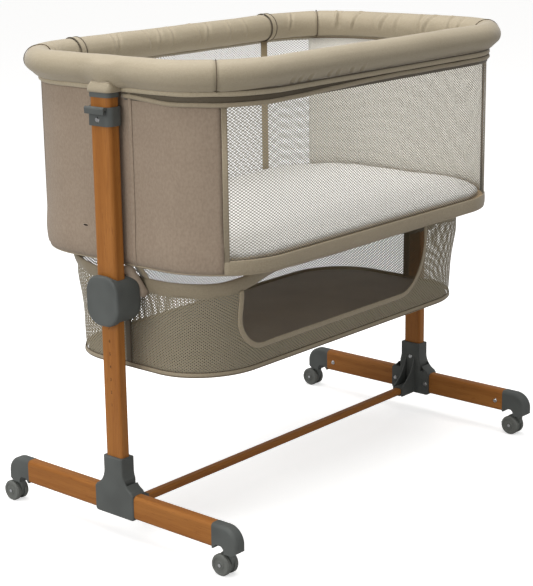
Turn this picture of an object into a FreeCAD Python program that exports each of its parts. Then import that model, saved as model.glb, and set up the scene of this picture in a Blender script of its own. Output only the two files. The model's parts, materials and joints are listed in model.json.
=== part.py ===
import FreeCAD, Part
import math
import os

# Bedside sleeper crib, in millimetres.
# X runs along the crib, Y across it with the parent's side at -Y, Z up from the floor.
# The origin is on the floor, at the centre of the area that the crib covers.
# The stand is two wood-look foot beams on casters, joined by a cross bar. A lower post
# rises from each, and the crib hangs between two upper posts that slide over them.

V = FreeCAD.Vector

# ---- fits between pieces
TOUCH = 0.1          # parts that are pushed or screwed together
SEAT = 0.3           # a soft or loose piece beside its seat
SLIDE = 0.4          # plastic that slides along a tube
RUNNING = 0.05       # radial clearance of a pin in its bore

# ---- overall sizes
WALL_HALF_X = 431.0  # half the cot's length and width, over its fabric walls
WALL_HALF_Y = 260.0
WALL_CORNER = 150.0
HEM_Z = 500.0        # lower edge of those walls, at the highest step
UPPER_TOP = 800.0    # top of the upper posts, at the highest step
FOOT_HALF = 288.0    # half the length of a foot, over its end caps

# ---- casters
WHEEL_RADIUS = 19.5
WHEEL_WIDTH = 10.0
WHEEL_GAP = 4.2      # from the caster's middle to a wheel
TRAIL = 16.0         # from the stem back to the axle
STEM_INSET = 21.0    # from the end of a foot to the stem
STEM_RADIUS = 4.0
STEM_DEPTH = 27.0    # of the stem in its cap
AXLE_RADIUS = 3.0
AXLE_HEAD = 0.8      # thickness of the axle's riveted heads
HOOD_INSET = 2.5     # of the web's edge inside the wheels' treads
HOOD_HALF = 3.6
LEVER_PIN = 1.5
LEVER_HALF = 1.7
LEVER_PROUD = 7.5    # the lever's tip, out from the treads
LEVER_SLOT = 2.0     # half the width of the lever's slot

# ---- stand
FOOT_HEIGHT = 45.0
FOOT_WIDTH = 25.0
FOOT_ROUND = 8.0
FOOT_WALL = 1.5
CAP_LENGTH = 56.0
CAP_PLUG = 20.0      # how far an end cap reaches into its beam
CAP_NOSE = 31.0      # radius of the cap's rounded end
CAP_BOSS = 17.0      # across the caster boss under the cap
CAP_DROP = 4.5       # of that boss below the beam
CAP_FLOOR = 8.0      # height of the hollow beside the boss
CAP_SCREW = 17.0     # from the beam's end to the cap's screw

LOWER_WIDTH = 40.0   # lower post, along Y
LOWER_DEPTH = 20.0   # and along X
LOWER_ROUND = 4.5
LOWER_WALL = 1.5
POST_OVERLAP = 109.0         # of the lower post above the hub, at the highest step

BAR_WIDTH = 18.0     # cross bar, along Y
BAR_HEIGHT = 14.0
BAR_ROUND = 5.0
BAR_WALL = 1.5
BAR_RISE = 2.0       # above the underside of the foot beams

BRACKET_WALL = 2.6   # moulded walls round the foot beam and the post
BRACKET_HALF = 48.0  # half the length of its sleeve along the foot beam
NECK_HEIGHT = 63.0   # of its neck above the foot beam
NECK_PAD = 0.6       # thickening of the neck's narrow sides
FLARE_DROP = 26.0    # from the neck's top to where it starts to flare into the sleeve
BRACKET_EDGE = 3.5   # rounding of its outer face
RIB_WALL = 3.0
RIB_REACH = 46.0     # how far the ribs and the bar's collar reach inwards
COLLAR_WALL = 3.2

# ---- sliding posts and height lock
BUSH_ROOM = 2.3      # between the lower post and the upper tube
UPPER_WALL = 1.4
GLIDE_LENGTH = 30.0
STEP_COUNT = 7       # heights that the lock can hold
STEP_PITCH = 23.3
PIN_RADIUS = 4.0
HUB_DROP = 17.0       # of the hub's top below the hem
HUB_HEIGHT = 84.0
HUB_GRIP = 33.0      # how far the upper post reaches into the hub
HUB_ROUND = 29.0
HUB_SIDE = 12.2      # of the hub beside the upper post
HUB_OUT = 2.3        # and outside it
HUB_IN = 25.0        # and inside it, towards the cot
HUB_WALL = 2.5
HUB_EDGE = 10.0
PIN_RISE = 31.0      # of the lock pin above the hub's foot
BUTTON_WALL = 2.6
BUTTON_PLATE = 4.0   # thickness of the button's face
BUTTON_LAP = 3.5     # of its skirt over the housing
BUTTON_DISH = 1.6    # depth and radius of the hollow in its face
DISH_RADIUS = 420.0
PRESS = 5.0          # travel of the button
YOKE_ARM = 3.2
YOKE_HEIGHT = 12.0
YOKE_BRIDGE = 4.0    # thickness of the bridge that carries the pin
YOKE_GAP = 2.0       # from the post to the yoke's arms, besides the sliding fit
SPRING_ROOM = 12.0   # between the yoke's bridge and the back of the housing
SPRING_RADIUS = 5.2
SPRING_WIRE = 1.1
SPRING_TURNS = 4

# ---- crib frame and rail
POST_GAP = 5.3       # between a post and the cot's end wall
CRIB_BACK = 10.0     # of the cot's middle behind the posts
RAIL_OUT = 3.0       # the rail's centre line, out from the end walls
RAIL_IN = 7.0        # and in from the side walls
RAIL_TIGHTER = 12.0  # its corners are tighter than the walls' by this
RAIL_TUBE = 8.0
PAD_RADIUS = 29.0
FRAME_TUBE = 7.0     # floor frame, under the mattress board
FRAME_RISE = 1.5     # of its underside above the hem
TOP_CAP_DROP = 9.0   # of the cap's skirt below the tube's end
TOP_CAP_WALL = 2.0
TOP_CAP_PLATE = 3.0
SADDLE_HALF = 13.0
CLIP_DROP = 57.0     # from the post's top down to the strap clip's foot
CLIP_HEIGHT = 32.0
CLIP_WALL = 4.0

# ---- fabric walls
WALL_CLOTH = 2.0
MESH_CLOTH = 1.0
HEM_BAND = 32.0      # height of the band under the front mesh
SIDE_BAND = 8.0
BOARD_THICK = 4.0
MATTRESS_THICK = 18.0
MATTRESS_CROWN = 4.0
MATTRESS_EDGE = 4.0  # gap from the mattress to the walls

# ---- storage basket
BASKET_IN_X = 29.0   # of its walls inside the cot's, at the ends
BASKET_IN_Y = 56.0   # and at the sides
BASKET_DRAW = 20.0   # how much each side draws in down to the floor
BASKET_TIGHTER = 25.0        # its corners are tighter than the walls' by this
BASKET_CLOTH = 1.6
BASKET_DROP = 26.0   # from the hem down to the rim
BASKET_DEPTH = 141.0
RIM_HEIGHT = 28.0
RIM_THICK = 8.0
FLOOR_BOARD = 3.0
MOUTH_START = 80.0   # from the basket's left end to its front mouth
MOUTH_STOP = 194.0   # and from the mouth to the right end
MOUTH_RISE = 38.0    # of the mouth above the floor
MOUTH_CORNER = 62.0
TRIM_WIDTH = 7.0
STRAP_WIDTH = 20.0
STRAP_CLOTH = 1.5
STRAP_IN = 97.0      # side straps, in from the round corners
STRAP_Y = 45.0       # end straps lie at -Y and +Y of this

# ---- screws
SCREW_HEAD = 4.6
SCREW_SHANK = 2.0
SCREW_RISE = 2.0
BOLT_RADIUS = 3.0
BOLT_Y = 9.0         # floor-frame bolts lie at -Y and +Y of this

# ---- worked out from the sizes above
BOSS_Z = 2 * WHEEL_RADIUS + 2.5
FLOOR_GAP = BOSS_Z + CAP_DROP
FOOT_TOP = FLOOR_GAP + FOOT_HEIGHT
FOOT_MID = FLOOR_GAP + FOOT_HEIGHT / 2
WOOD_HALF = FOOT_HALF - CAP_LENGTH
STEM_Y = FOOT_HALF - STEM_INSET
HOOD_RADIUS = WHEEL_RADIUS - HOOD_INSET
AXLE_SPAN = WHEEL_GAP + WHEEL_WIDTH + SEAT
LEVER_REACH = WHEEL_RADIUS + LEVER_PROUD
LEVER_PIVOT = (HOOD_RADIUS - 7.5, HOOD_RADIUS - 9.0)
POST_BOTTOM = FOOT_TOP + SEAT
BAR_Z = FLOOR_GAP + BAR_RISE + BAR_HEIGHT / 2
BRACKET_DEPTH = FOOT_WIDTH / 2 + BRACKET_WALL
BRACKET_TOP = FOOT_TOP + NECK_HEIGHT
BRACKET_FLARE = BRACKET_TOP - FLARE_DROP
NECK_HALF = LOWER_WIDTH / 2 + BRACKET_WALL + NECK_PAD
UPPER_WIDTH = LOWER_WIDTH + 2 * (BUSH_ROOM + UPPER_WALL)
UPPER_DEPTH = LOWER_DEPTH + 2 * (BUSH_ROOM + UPPER_WALL)
UPPER_ROUND = LOWER_ROUND + BUSH_ROOM + UPPER_WALL
POST_X = WALL_HALF_X + POST_GAP + UPPER_DEPTH / 2
HUB_TOP = HEM_Z - HUB_DROP
HUB_BOTTOM = HUB_TOP - HUB_HEIGHT
HUB_HALF = UPPER_WIDTH / 2 + HUB_SIDE
HUB_FRONT = UPPER_DEPTH / 2 + HUB_OUT
HUB_BACK = UPPER_DEPTH / 2 + HUB_IN
UPPER_BOTTOM = HUB_TOP - HUB_GRIP
LOWER_TOP = HUB_TOP + POST_OVERLAP
PIN_Z = HUB_BOTTOM + PIN_RISE
BUTTON_FACE = HUB_FRONT + PRESS + SLIDE + TOUCH + BUTTON_PLATE
BUTTON_SKIRT = HUB_FRONT - BUTTON_LAP
YOKE_Y = LOWER_WIDTH / 2 + SLIDE + YOKE_GAP + YOKE_ARM / 2
BRIDGE_X = -POST_X + HUB_BACK - HUB_WALL - SPRING_ROOM
RAIL_HALF_X = WALL_HALF_X + RAIL_OUT
RAIL_HALF_Y = WALL_HALF_Y - RAIL_IN
RAIL_CORNER = WALL_CORNER - RAIL_TIGHTER
RAIL_Z = UPPER_TOP + TOP_CAP_PLATE + PAD_RADIUS
CLIP_Z = UPPER_TOP - CLIP_DROP
FRAME_HALF_X = WALL_HALF_X - WALL_CLOTH - SEAT - FRAME_TUBE
FRAME_HALF_Y = WALL_HALF_Y - WALL_CLOTH - SEAT - FRAME_TUBE
FRAME_CORNER = WALL_CORNER - WALL_CLOTH - SEAT - FRAME_TUBE
FRAME_Z = HEM_Z + FRAME_RISE + FRAME_TUBE
BOARD_Z = FRAME_Z + FRAME_TUBE + SEAT
MATTRESS_Z = BOARD_Z + BOARD_THICK + SEAT
WALL_TOP = UPPER_TOP + TOP_CAP_PLATE - SEAT
BASKET_HALF_X = WALL_HALF_X - BASKET_IN_X
BASKET_TOP_Y = WALL_HALF_Y - BASKET_IN_Y
BASKET_LOW_Y = BASKET_TOP_Y - BASKET_DRAW
BASKET_CORNER = WALL_CORNER - BASKET_TIGHTER
BASKET_TOP = HEM_Z - BASKET_DROP
BASKET_RIM_Z = BASKET_TOP - RIM_HEIGHT
BASKET_FLOOR_Z = BASKET_RIM_Z - BASKET_DEPTH
MOUTH_LEFT = -BASKET_HALF_X + MOUTH_START
MOUTH_RIGHT = BASKET_HALF_X - MOUTH_STOP
MOUTH_SILL = BASKET_FLOOR_Z + MOUTH_RISE
STRAP_X = BASKET_HALF_X - BASKET_CORNER - STRAP_IN
# the rear casters trail past the foot, so the covered area's centre lies behind the posts
ORIGIN_Y = (STEM_Y + TRAIL + LEVER_REACH - FOOT_HALF) / 2


def box(x0, x1, y0, y1, z0, z1):
    return Part.makeBox(x1 - x0, y1 - y0, z1 - z0, V(x0, y0, z0))


def rod(radius, start, end):
    """Cylinder between two points."""
    return Part.makeCylinder(radius, (end - start).Length, start, end - start)


def outline(place, start, *steps):
    """Closed wire. A step is a point, reached by a line, or a (through, end) pair, by an arc.

    place turns two sizes into a point, so one outline can lie in any plane.
    """
    first = here = place(*start)
    edges = []
    for step in steps:
        if isinstance(step[0], tuple):
            end = place(*step[1])
            edges.append(Part.Arc(here, place(*step[0]), end).toShape())
        else:
            end = place(*step)
            edges.append(Part.LineSegment(here, end).toShape())
        here = end
    if (here - first).Length > 1e-6:
        edges.append(Part.LineSegment(here, first).toShape())
    return Part.Wire(edges)


def on_arc(centre, radius, degrees):
    """Point of an arc in an outline's plane."""
    turn = math.radians(degrees)
    return centre[0] + radius * math.cos(turn), centre[1] + radius * math.sin(turn)


def rounded(place, half_u, half_v, corner):
    """Rectangle with round corners, centred on the plane's origin."""
    steps = []
    for turn, sign_u, sign_v in ((0, 1, 1), (90, -1, 1), (180, -1, -1), (270, 1, -1)):
        centre = sign_u * (half_u - corner), sign_v * (half_v - corner)
        steps.append(on_arc(centre, corner, turn))
        steps.append((on_arc(centre, corner, turn + 45), on_arc(centre, corner, turn + 90)))
    return outline(place, *steps)


def level(z):
    return lambda x, y: V(x, y, z)


def across(x):
    return lambda y, z: V(x, y, z)


def upright(y):
    return lambda x, z: V(x, y, z)


def prism(wire, along):
    return Part.Face(wire).extrude(along)


def post_section(width, depth, corner, low, high):
    """Upright bar on a post's centre line, width along Y."""
    bar = prism(rounded(level(low), depth / 2, width / 2, corner), V(0, 0, high - low))
    return bar.translated(V(-POST_X, 0, 0))


def mirrored(shape):
    """The same piece for the right side."""
    return shape.mirror(V(0, 0, 0), V(1, 0, 0))


def round_edges(shape, radius, chosen):
    """Fillet the edges that chosen(edge) picks."""
    return shape.makeFillet(radius, [edge for edge in shape.Edges if chosen(edge)])


def edge_span(edge):
    size = edge.BoundBox
    return size.XLength, size.YLength


def smooth_path(points, tangents):
    """Wire of arcs, two for each stretch, that passes each point along its tangent."""
    edges = []
    for start, end, leave, arrive in zip(points, points[1:], tangents, tangents[1:]):
        run, both = end - start, leave + arrive
        bend = 2 * (1 - leave.dot(arrive))
        reach = (math.sqrt(run.dot(both) ** 2 + bend * run.dot(run)) - run.dot(both)) / bend
        middle = (start + leave * reach + end - arrive * reach) * 0.5
        edges.append(arc_from(start, leave, middle))
        edges.append(arc_from(end, -arrive, middle))
    return Part.Wire(edges)


def arc_from(start, tangent, end):
    """Arc that leaves its start along a tangent and reaches its end."""
    chord = end - start
    across = tangent - chord * (tangent.dot(chord) / chord.dot(chord))
    angle = tangent.getAngle(chord)
    through = start + chord * 0.5 + across.normalize() * (chord.Length / 2 * math.tan(angle / 2))
    return Part.Arc(start, through, end).toShape()


# ---- stand

def foot_beam():
    """Oval steel tube with a wood-look skin, along Y."""
    half_w, half_h = FOOT_WIDTH / 2, FOOT_HEIGHT / 2
    place = lambda x, z: V(x, -WOOD_HALF, z)
    run = V(0, 2 * WOOD_HALF, 0)
    outer = prism(rounded(place, half_w, half_h, FOOT_ROUND), run)
    inner = prism(rounded(place, half_w - FOOT_WALL, half_h - FOOT_WALL, FOOT_ROUND - FOOT_WALL), run)
    tube = outer.cut(inner).translated(V(-POST_X, 0, FOOT_MID))
    return tube.cut(screw_holes(foot_screws() + bracket_screws()))


def cap_outline():
    """Side view of the front end cap, out from the beam's end and up from the floor."""
    out = CAP_LENGTH
    nose = (out - CAP_NOSE, FOOT_TOP - CAP_NOSE)
    boss = STEM_Y - WOOD_HALF
    ceiling = FLOOR_GAP + CAP_FLOOR
    place = lambda u, z: V(-POST_X - FOOT_WIDTH / 2, -WOOD_HALF - u, z)
    return outline(
        place,
        (0, FLOOR_GAP),
        (0, FOOT_TOP),
        (nose[0], FOOT_TOP),
        (on_arc(nose, CAP_NOSE, 45), (out, nose[1])),
        (out, FLOOR_GAP + 3),
        (boss + CAP_BOSS / 2, BOSS_Z),
        (boss - CAP_BOSS / 2, BOSS_Z),
        ((boss - CAP_BOSS / 2 - 2, ceiling - 3), (boss - CAP_BOSS / 2 - 6, ceiling)),
        (9, ceiling),
        (3, FLOOR_GAP),
    )


def end_cap():
    """Moulded cap at the front end of the left beam, with a plug and a caster socket."""
    body = prism(cap_outline(), V(FOOT_WIDTH, 0, 0))
    # the long edges of the top and of the nose, on both sides
    along_top = lambda e: e.BoundBox.ZMax > FOOT_TOP - 1e-6 and edge_span(e)[0] < 1e-6 < edge_span(e)[1]
    body = round_edges(body, FOOT_ROUND - 1, along_top)
    half_w = FOOT_WIDTH / 2 - FOOT_WALL - TOUCH
    half_h = FOOT_HEIGHT / 2 - FOOT_WALL - TOUCH
    place = lambda x, z: V(x - POST_X, -WOOD_HALF - 4, z + FOOT_MID)
    plug = prism(rounded(place, half_w, half_h, FOOT_ROUND - FOOT_WALL), V(0, CAP_PLUG + 4, 0))
    body = body.fuse(plug)
    stem = V(-POST_X, -STEM_Y, BOSS_Z)
    body = body.cut(rod(STEM_RADIUS + RUNNING, stem, stem + V(0, 0, STEM_DEPTH + 1)))
    return body.cut(screw_holes(foot_screws()))


def bracket_outline():
    """Outer face of the base bracket: sleeve along the beam, flared into the post's neck."""
    half, neck, low = BRACKET_HALF, NECK_HALF, FLOOR_GAP - BRACKET_WALL
    shoulder = FOOT_TOP + BRACKET_WALL + 2
    reach = half - 4
    # the flare is tangent to the neck and meets the sleeve's top at the shoulder
    drop = BRACKET_FLARE - shoulder
    radius = (drop ** 2 + (reach - neck) ** 2) / (2 * (reach - neck))
    centre = (neck + radius, BRACKET_FLARE)
    foot_turn = math.degrees(math.atan2(-drop, reach - centre[0]))
    middle = on_arc(centre, radius, (foot_turn - 180) / 2)
    mirror = lambda p: (-p[0], p[1])
    right = [(half - 6, low), (half, low + 6), (half, shoulder - 5), (reach, shoulder)]
    return outline(
        across(-POST_X - BRACKET_DEPTH),
        mirror(right[0]),
        right[0],
        (on_arc((half - 6, low + 6), 6, -45), right[1]),
        right[2],
        right[3],
        (middle, (neck, BRACKET_FLARE)),
        (neck, BRACKET_TOP),
        (-neck, BRACKET_TOP),
        (-neck, BRACKET_FLARE),
        (mirror(middle), mirror(right[3])),
        mirror(right[2]),
        mirror(right[1]),
        (mirror(on_arc((half - 6, low + 6), 6, -45)), mirror(right[0])),
    )


def rib(y):
    """Sloping web from the post's neck down to the cross bar's collar."""
    near, far = -POST_X + BRACKET_DEPTH - 1, -POST_X + BRACKET_DEPTH + RIB_REACH
    low = BAR_Z - BAR_HEIGHT / 2 - COLLAR_WALL
    side = outline(
        upright(y - RIB_WALL / 2),
        (near, low),
        (far, low),
        (far, BAR_Z + BAR_HEIGHT / 2 + COLLAR_WALL),
        ((far - 0.6 * RIB_REACH, BAR_Z + 32), (near, BRACKET_FLARE + 4)),
    )
    return prism(side, V(0, RIB_WALL, 0))


def bar_collar():
    """Socket of the cross bar, on the bracket's inner side."""
    place = lambda y, z: V(-POST_X + BRACKET_DEPTH - 1, y, z + BAR_Z)
    half_w, half_h = BAR_WIDTH / 2 + COLLAR_WALL, BAR_HEIGHT / 2 + COLLAR_WALL
    return prism(rounded(place, half_w, half_h, BAR_ROUND + COLLAR_WALL), V(RIB_REACH + 1, 0, 0))


def corner_pocket(side):
    """Hollow behind the bracket's flared corner, open to the crib's middle."""
    u0 = NECK_HALF + 3
    low = FOOT_TOP + BRACKET_WALL + 1.5
    wire = outline(
        across(-POST_X + BRACKET_DEPTH + 1),
        (side * u0, BRACKET_FLARE - 8),
        (side * u0, low),
        (side * (BRACKET_HALF - 11), low),
        ((side * (u0 + 5.5), low + 9), (side * u0, BRACKET_FLARE - 8)),
    )
    return prism(wire, V(-2 * BRACKET_DEPTH + 3, 0, 0))


def base_bracket():
    """Moulded joint of foot beam, lower post and cross bar."""
    shell = prism(bracket_outline(), V(2 * BRACKET_DEPTH, 0, 0))
    outer_x = -POST_X - BRACKET_DEPTH
    on_outer_face = lambda e: e.BoundBox.XMax < outer_x + 1e-6
    shell = round_edges(shell, BRACKET_EDGE, on_outer_face)
    rib_y = BAR_WIDTH / 2 + COLLAR_WALL - RIB_WALL / 2
    shell = shell.fuse([rib(-rib_y), rib(rib_y), bar_collar()])
    place = lambda x, z: V(x - POST_X, -BRACKET_HALF - 1, z + FOOT_MID)
    beam = prism(
        rounded(place, FOOT_WIDTH / 2 + TOUCH, FOOT_HEIGHT / 2 + TOUCH, FOOT_ROUND),
        V(0, 2 * BRACKET_HALF + 2, 0),
    )
    post = post_section(
        LOWER_WIDTH + 2 * TOUCH, LOWER_DEPTH + 2 * TOUCH, LOWER_ROUND, FOOT_TOP - 4, BRACKET_TOP + 1
    )
    bar_place = lambda y, z: V(-POST_X + FOOT_WIDTH / 2 + BRACKET_WALL / 2, y, z + BAR_Z)
    bar = prism(
        rounded(bar_place, BAR_WIDTH / 2 + TOUCH, BAR_HEIGHT / 2 + TOUCH, BAR_ROUND),
        V(RIB_REACH + BRACKET_WALL, 0, 0),
    )
    shell = shell.cut([beam, post, bar, corner_pocket(-1), corner_pocket(1)])
    return shell.cut(screw_holes(bracket_screws()))


def cross_bar():
    end = POST_X - FOOT_WIDTH / 2 - BRACKET_WALL / 2 - SEAT
    place = lambda y, z: V(-end, y, z + BAR_Z)
    half_w, half_h = BAR_WIDTH / 2, BAR_HEIGHT / 2
    run = V(2 * end, 0, 0)
    outer = prism(rounded(place, half_w, half_h, BAR_ROUND), run)
    inner = prism(rounded(place, half_w - BAR_WALL, half_h - BAR_WALL, BAR_ROUND - BAR_WALL), run)
    return outer.cut(inner)


def lower_post():
    """Post tube with a column of lock holes in its inner wall."""
    outer = post_section(LOWER_WIDTH, LOWER_DEPTH, LOWER_ROUND, POST_BOTTOM, LOWER_TOP)
    inner = post_section(
        LOWER_WIDTH - 2 * LOWER_WALL, LOWER_DEPTH - 2 * LOWER_WALL, LOWER_ROUND - LOWER_WALL,
        POST_BOTTOM, LOWER_TOP,
    )
    tube = outer.cut(inner)
    holes = []
    for step in range(STEP_COUNT):
        start = V(-POST_X, 0, PIN_Z - step * STEP_PITCH)
        holes.append(rod(PIN_RADIUS + SEAT, start, start + V(LOWER_DEPTH, 0, 0)))
    return tube.cut(holes + screw_holes(bracket_screws()))


# ---- screws: each is (point under the head, direction in, shank length)

def foot_screws():
    """The two screws that hold the left beam's end caps, from the inner side."""
    x = -POST_X + FOOT_WIDTH / 2
    y = WOOD_HALF - CAP_SCREW
    return [(V(x, side * y, FOOT_MID - 2), V(-1, 0, 0), 12.0) for side in (-1, 1)]


def bracket_screws():
    """Two through the bracket's sleeve and one through its neck."""
    x = -POST_X + BRACKET_DEPTH
    y = BRACKET_HALF - 9
    low, high = FOOT_MID - 1, BRACKET_FLARE - 5
    return [(V(x, u, z), V(-1, 0, 0), 8.0) for u, z in ((-y, low), (y, low), (0, high))]


def crib_screws():
    """Clip, hub and floor-frame screws of the left post."""
    clip = (V(-POST_X - UPPER_DEPTH / 2 - CLIP_WALL, 0, CLIP_Z + 11), V(1, 0, 0), 8.0)
    reach = HUB_BACK - UPPER_DEPTH / 2 + UPPER_WALL
    hub = (V(-POST_X + HUB_BACK, 0, HUB_TOP - 19), V(-1, 0, 0), reach)
    return [clip, hub]


def frame_bolts():
    """Bolts from the upper post's wall into the floor frame, as (start, end) of each shank."""
    start, end = -POST_X + UPPER_DEPTH / 2 - UPPER_WALL, -FRAME_HALF_X + 1
    return [(V(start, y, FRAME_Z), V(end, y, FRAME_Z)) for y in (-BOLT_Y, BOLT_Y)]


def bolt_rods(clearance=0.0):
    return [rod(BOLT_RADIUS + clearance, start, end) for start, end in frame_bolts()]


def screw(under, inward, length):
    """Pan-head screw, its head drawn in towards the top."""
    crown = Part.makeCone(SCREW_HEAD, SCREW_HEAD * 0.72, SCREW_RISE, under, -inward)
    return crown.fuse(rod(SCREW_SHANK, under, under + inward * length))


def screw_holes(screws):
    return [rod(SCREW_SHANK + TOUCH, u - d, u + d * (length + 1)) for u, d, length in screws]


def screw_set(screws):
    left = [screw(*item) for item in screws]
    return left + [mirrored(item) for item in left]


# ---- casters, built round the axle of one that stands at the origin

def caster_frame():
    """Web between the wheels, with the swivel stem, the axle and the brake's slot."""
    yz = lambda x: across(x)
    centre_z = WHEEL_RADIUS
    collar_top = BOSS_Z - SEAT
    web = rod(HOOD_RADIUS, V(-HOOD_HALF, 0, centre_z), V(HOOD_HALF, 0, centre_z))
    neck = prism(
        outline(
            yz(-HOOD_HALF),
            (-TRAIL - 5.5, collar_top - 3),
            (-TRAIL - 5.5, collar_top - 6),
            ((-HOOD_RADIUS - 1.5, centre_z + 6), (-HOOD_RADIUS + 2, centre_z - 2)),
            (0, centre_z - 4),
            (0, centre_z + HOOD_RADIUS),
            (-TRAIL + 6, collar_top - 3),
        ),
        V(2 * HOOD_HALF, 0, 0),
    )
    stem_base = V(0, -TRAIL, collar_top)
    collar = rod(6.6, stem_base - V(0, 0, 4), stem_base)
    stem = rod(STEM_RADIUS, stem_base, V(0, -TRAIL, BOSS_Z + STEM_DEPTH))
    axle = rod(AXLE_RADIUS, V(-AXLE_SPAN, 0, centre_z), V(AXLE_SPAN, 0, centre_z))
    body = web.fuse([neck, collar, stem])
    back, up = LEVER_PIVOT
    slot = box(-LEVER_SLOT, LEVER_SLOT, back - 6, HOOD_RADIUS + 1, centre_z - 8, centre_z + up + 8)
    pin = rod(LEVER_PIN, V(-LEVER_SLOT - 1, back, centre_z + up), V(LEVER_SLOT + 1, back, centre_z + up))
    heads = [
        rod(AXLE_RADIUS + 1.3, V(side * AXLE_SPAN, 0, centre_z), V(side * (AXLE_SPAN + AXLE_HEAD), 0, centre_z))
        for side in (-1, 1)
    ]
    return body.cut(slot).fuse([pin, axle] + heads)


def wheel(side):
    """Hard wheel with a stepped face and a rounded tread."""
    place = lambda r, w: V(side * (WHEEL_GAP + w), 0, WHEEL_RADIUS + r)
    bore, rim = AXLE_RADIUS + RUNNING, WHEEL_RADIUS - 5.5
    width, bevel, dish = WHEEL_WIDTH, 1.5, 1.4
    half = outline(
        place,
        (bore, 0),
        (WHEEL_RADIUS - bevel, 0),
        (WHEEL_RADIUS, bevel),
        (WHEEL_RADIUS, width - 2 * bevel),
        (WHEEL_RADIUS - 1.3 * bevel, width),
        (rim, width),
        (rim - 1, width - dish),
        (bore + 5, width - dish),
        (bore + 4, width),
        (bore, width),
    )
    return Part.Face(half).revolve(V(0, 0, WHEEL_RADIUS), V(1, 0, 0), 360)


def brake_lever():
    """Pointed pedal between the wheels; its tip is pressed down to lock them."""
    back, up = LEVER_PIVOT
    z = WHEEL_RADIUS
    arm = outline(
        across(-LEVER_HALF),
        (back - 3.2, z + up),
        ((back, z + up + 3.2), (back + 3.2, z + up)),
        (HOOD_RADIUS + 4, z + 3.6),
        (LEVER_REACH, z - 1.4),
        (HOOD_RADIUS + 3.4, z + 0.6),
        (HOOD_RADIUS - 3, z + 1.2),
    )
    lever = prism(arm, V(2 * LEVER_HALF, 0, 0))
    tip = outline(
        across(-HOOD_HALF),
        (HOOD_RADIUS + 4, z + 3.6),
        (LEVER_REACH, z - 1.4),
        (HOOD_RADIUS + 4, z + 0.5),
    )
    lever = lever.fuse(prism(tip, V(2 * HOOD_HALF, 0, 0)))
    pivot = V(0, back, z + up)
    across_x = V(LEVER_HALF + 1, 0, 0)
    return lever.cut(rod(LEVER_PIN + RUNNING, pivot - across_x, pivot + across_x))


def caster_places():
    """Name and stem position of each caster."""
    for end, y in (("front", -STEM_Y), ("rear", STEM_Y)):
        for side, x in (("left", -POST_X), ("right", POST_X)):
            yield f"{end}_{side}", V(x, y + TRAIL, 0)


# ---- sliding posts and height lock, left side

def upper_post():
    outer = post_section(UPPER_WIDTH, UPPER_DEPTH, UPPER_ROUND, UPPER_BOTTOM, UPPER_TOP)
    inner = post_section(
        UPPER_WIDTH - 2 * UPPER_WALL, UPPER_DEPTH - 2 * UPPER_WALL, UPPER_ROUND - UPPER_WALL,
        UPPER_BOTTOM, UPPER_TOP,
    )
    return outer.cut(inner).cut(screw_holes(crib_screws()) + bolt_rods(TOUCH))


def post_glide():
    """Plastic bush in the mouth of the upper post, round the lower one."""
    outer = post_section(
        UPPER_WIDTH - 2 * UPPER_WALL - 2 * TOUCH, UPPER_DEPTH - 2 * UPPER_WALL - 2 * TOUCH,
        UPPER_ROUND - UPPER_WALL, HUB_TOP + SEAT, HUB_TOP + SEAT + GLIDE_LENGTH,
    )
    inner = post_section(
        LOWER_WIDTH + SLIDE, LOWER_DEPTH + SLIDE, LOWER_ROUND + SLIDE / 2, HUB_TOP, HUB_TOP + 2 * GLIDE_LENGTH
    )
    return outer.cut(inner)


def hub_prism(half, corner, out_from, out_to, grow=0.0):
    """Pebble-shaped block round the post, between two distances from its centre line."""
    middle, half_z = (HUB_TOP + HUB_BOTTOM) / 2, (HUB_TOP - HUB_BOTTOM) / 2
    place = lambda y, z: V(-POST_X + out_from, y, z + middle)
    return prism(rounded(place, half, half_z + grow, corner), V(out_to - out_from, 0, 0))


def hub_housing():
    """Lock housing, fixed to the foot of the upper post."""
    drum = hub_prism(HUB_HALF, HUB_ROUND, -HUB_FRONT, HUB_BACK)
    back_x = -POST_X + HUB_BACK
    drum = round_edges(drum, HUB_EDGE, lambda e: e.BoundBox.XMin > back_x - 1e-6)
    lower = post_section(
        LOWER_WIDTH + 2 * SLIDE, LOWER_DEPTH + 2 * SLIDE, LOWER_ROUND + SLIDE, HUB_BOTTOM - 1, HUB_TOP + 1
    )
    upper = post_section(
        UPPER_WIDTH + 2 * TOUCH, UPPER_DEPTH + 2 * TOUCH, UPPER_ROUND, UPPER_BOTTOM, HUB_TOP + 1
    )
    half_z = YOKE_HEIGHT / 2 + 6
    inside = box(
        -POST_X - HUB_FRONT + 2.7, back_x - HUB_WALL, -HUB_HALF + HUB_WALL + 2, HUB_HALF - HUB_WALL - 2,
        PIN_Z - half_z, PIN_Z + half_z,
    )
    slots = []
    for side in (-1, 1):
        y0 = side * YOKE_Y
        slots.append(
            box(
                -POST_X - HUB_FRONT - 1, -POST_X, y0 - YOKE_ARM / 2 - SLIDE, y0 + YOKE_ARM / 2 + SLIDE,
                PIN_Z - YOKE_HEIGHT / 2 - SLIDE, PIN_Z + YOKE_HEIGHT / 2 + SLIDE,
            )
        )
    return drum.cut([lower, upper, inside] + slots + screw_holes(crib_screws()))


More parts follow.
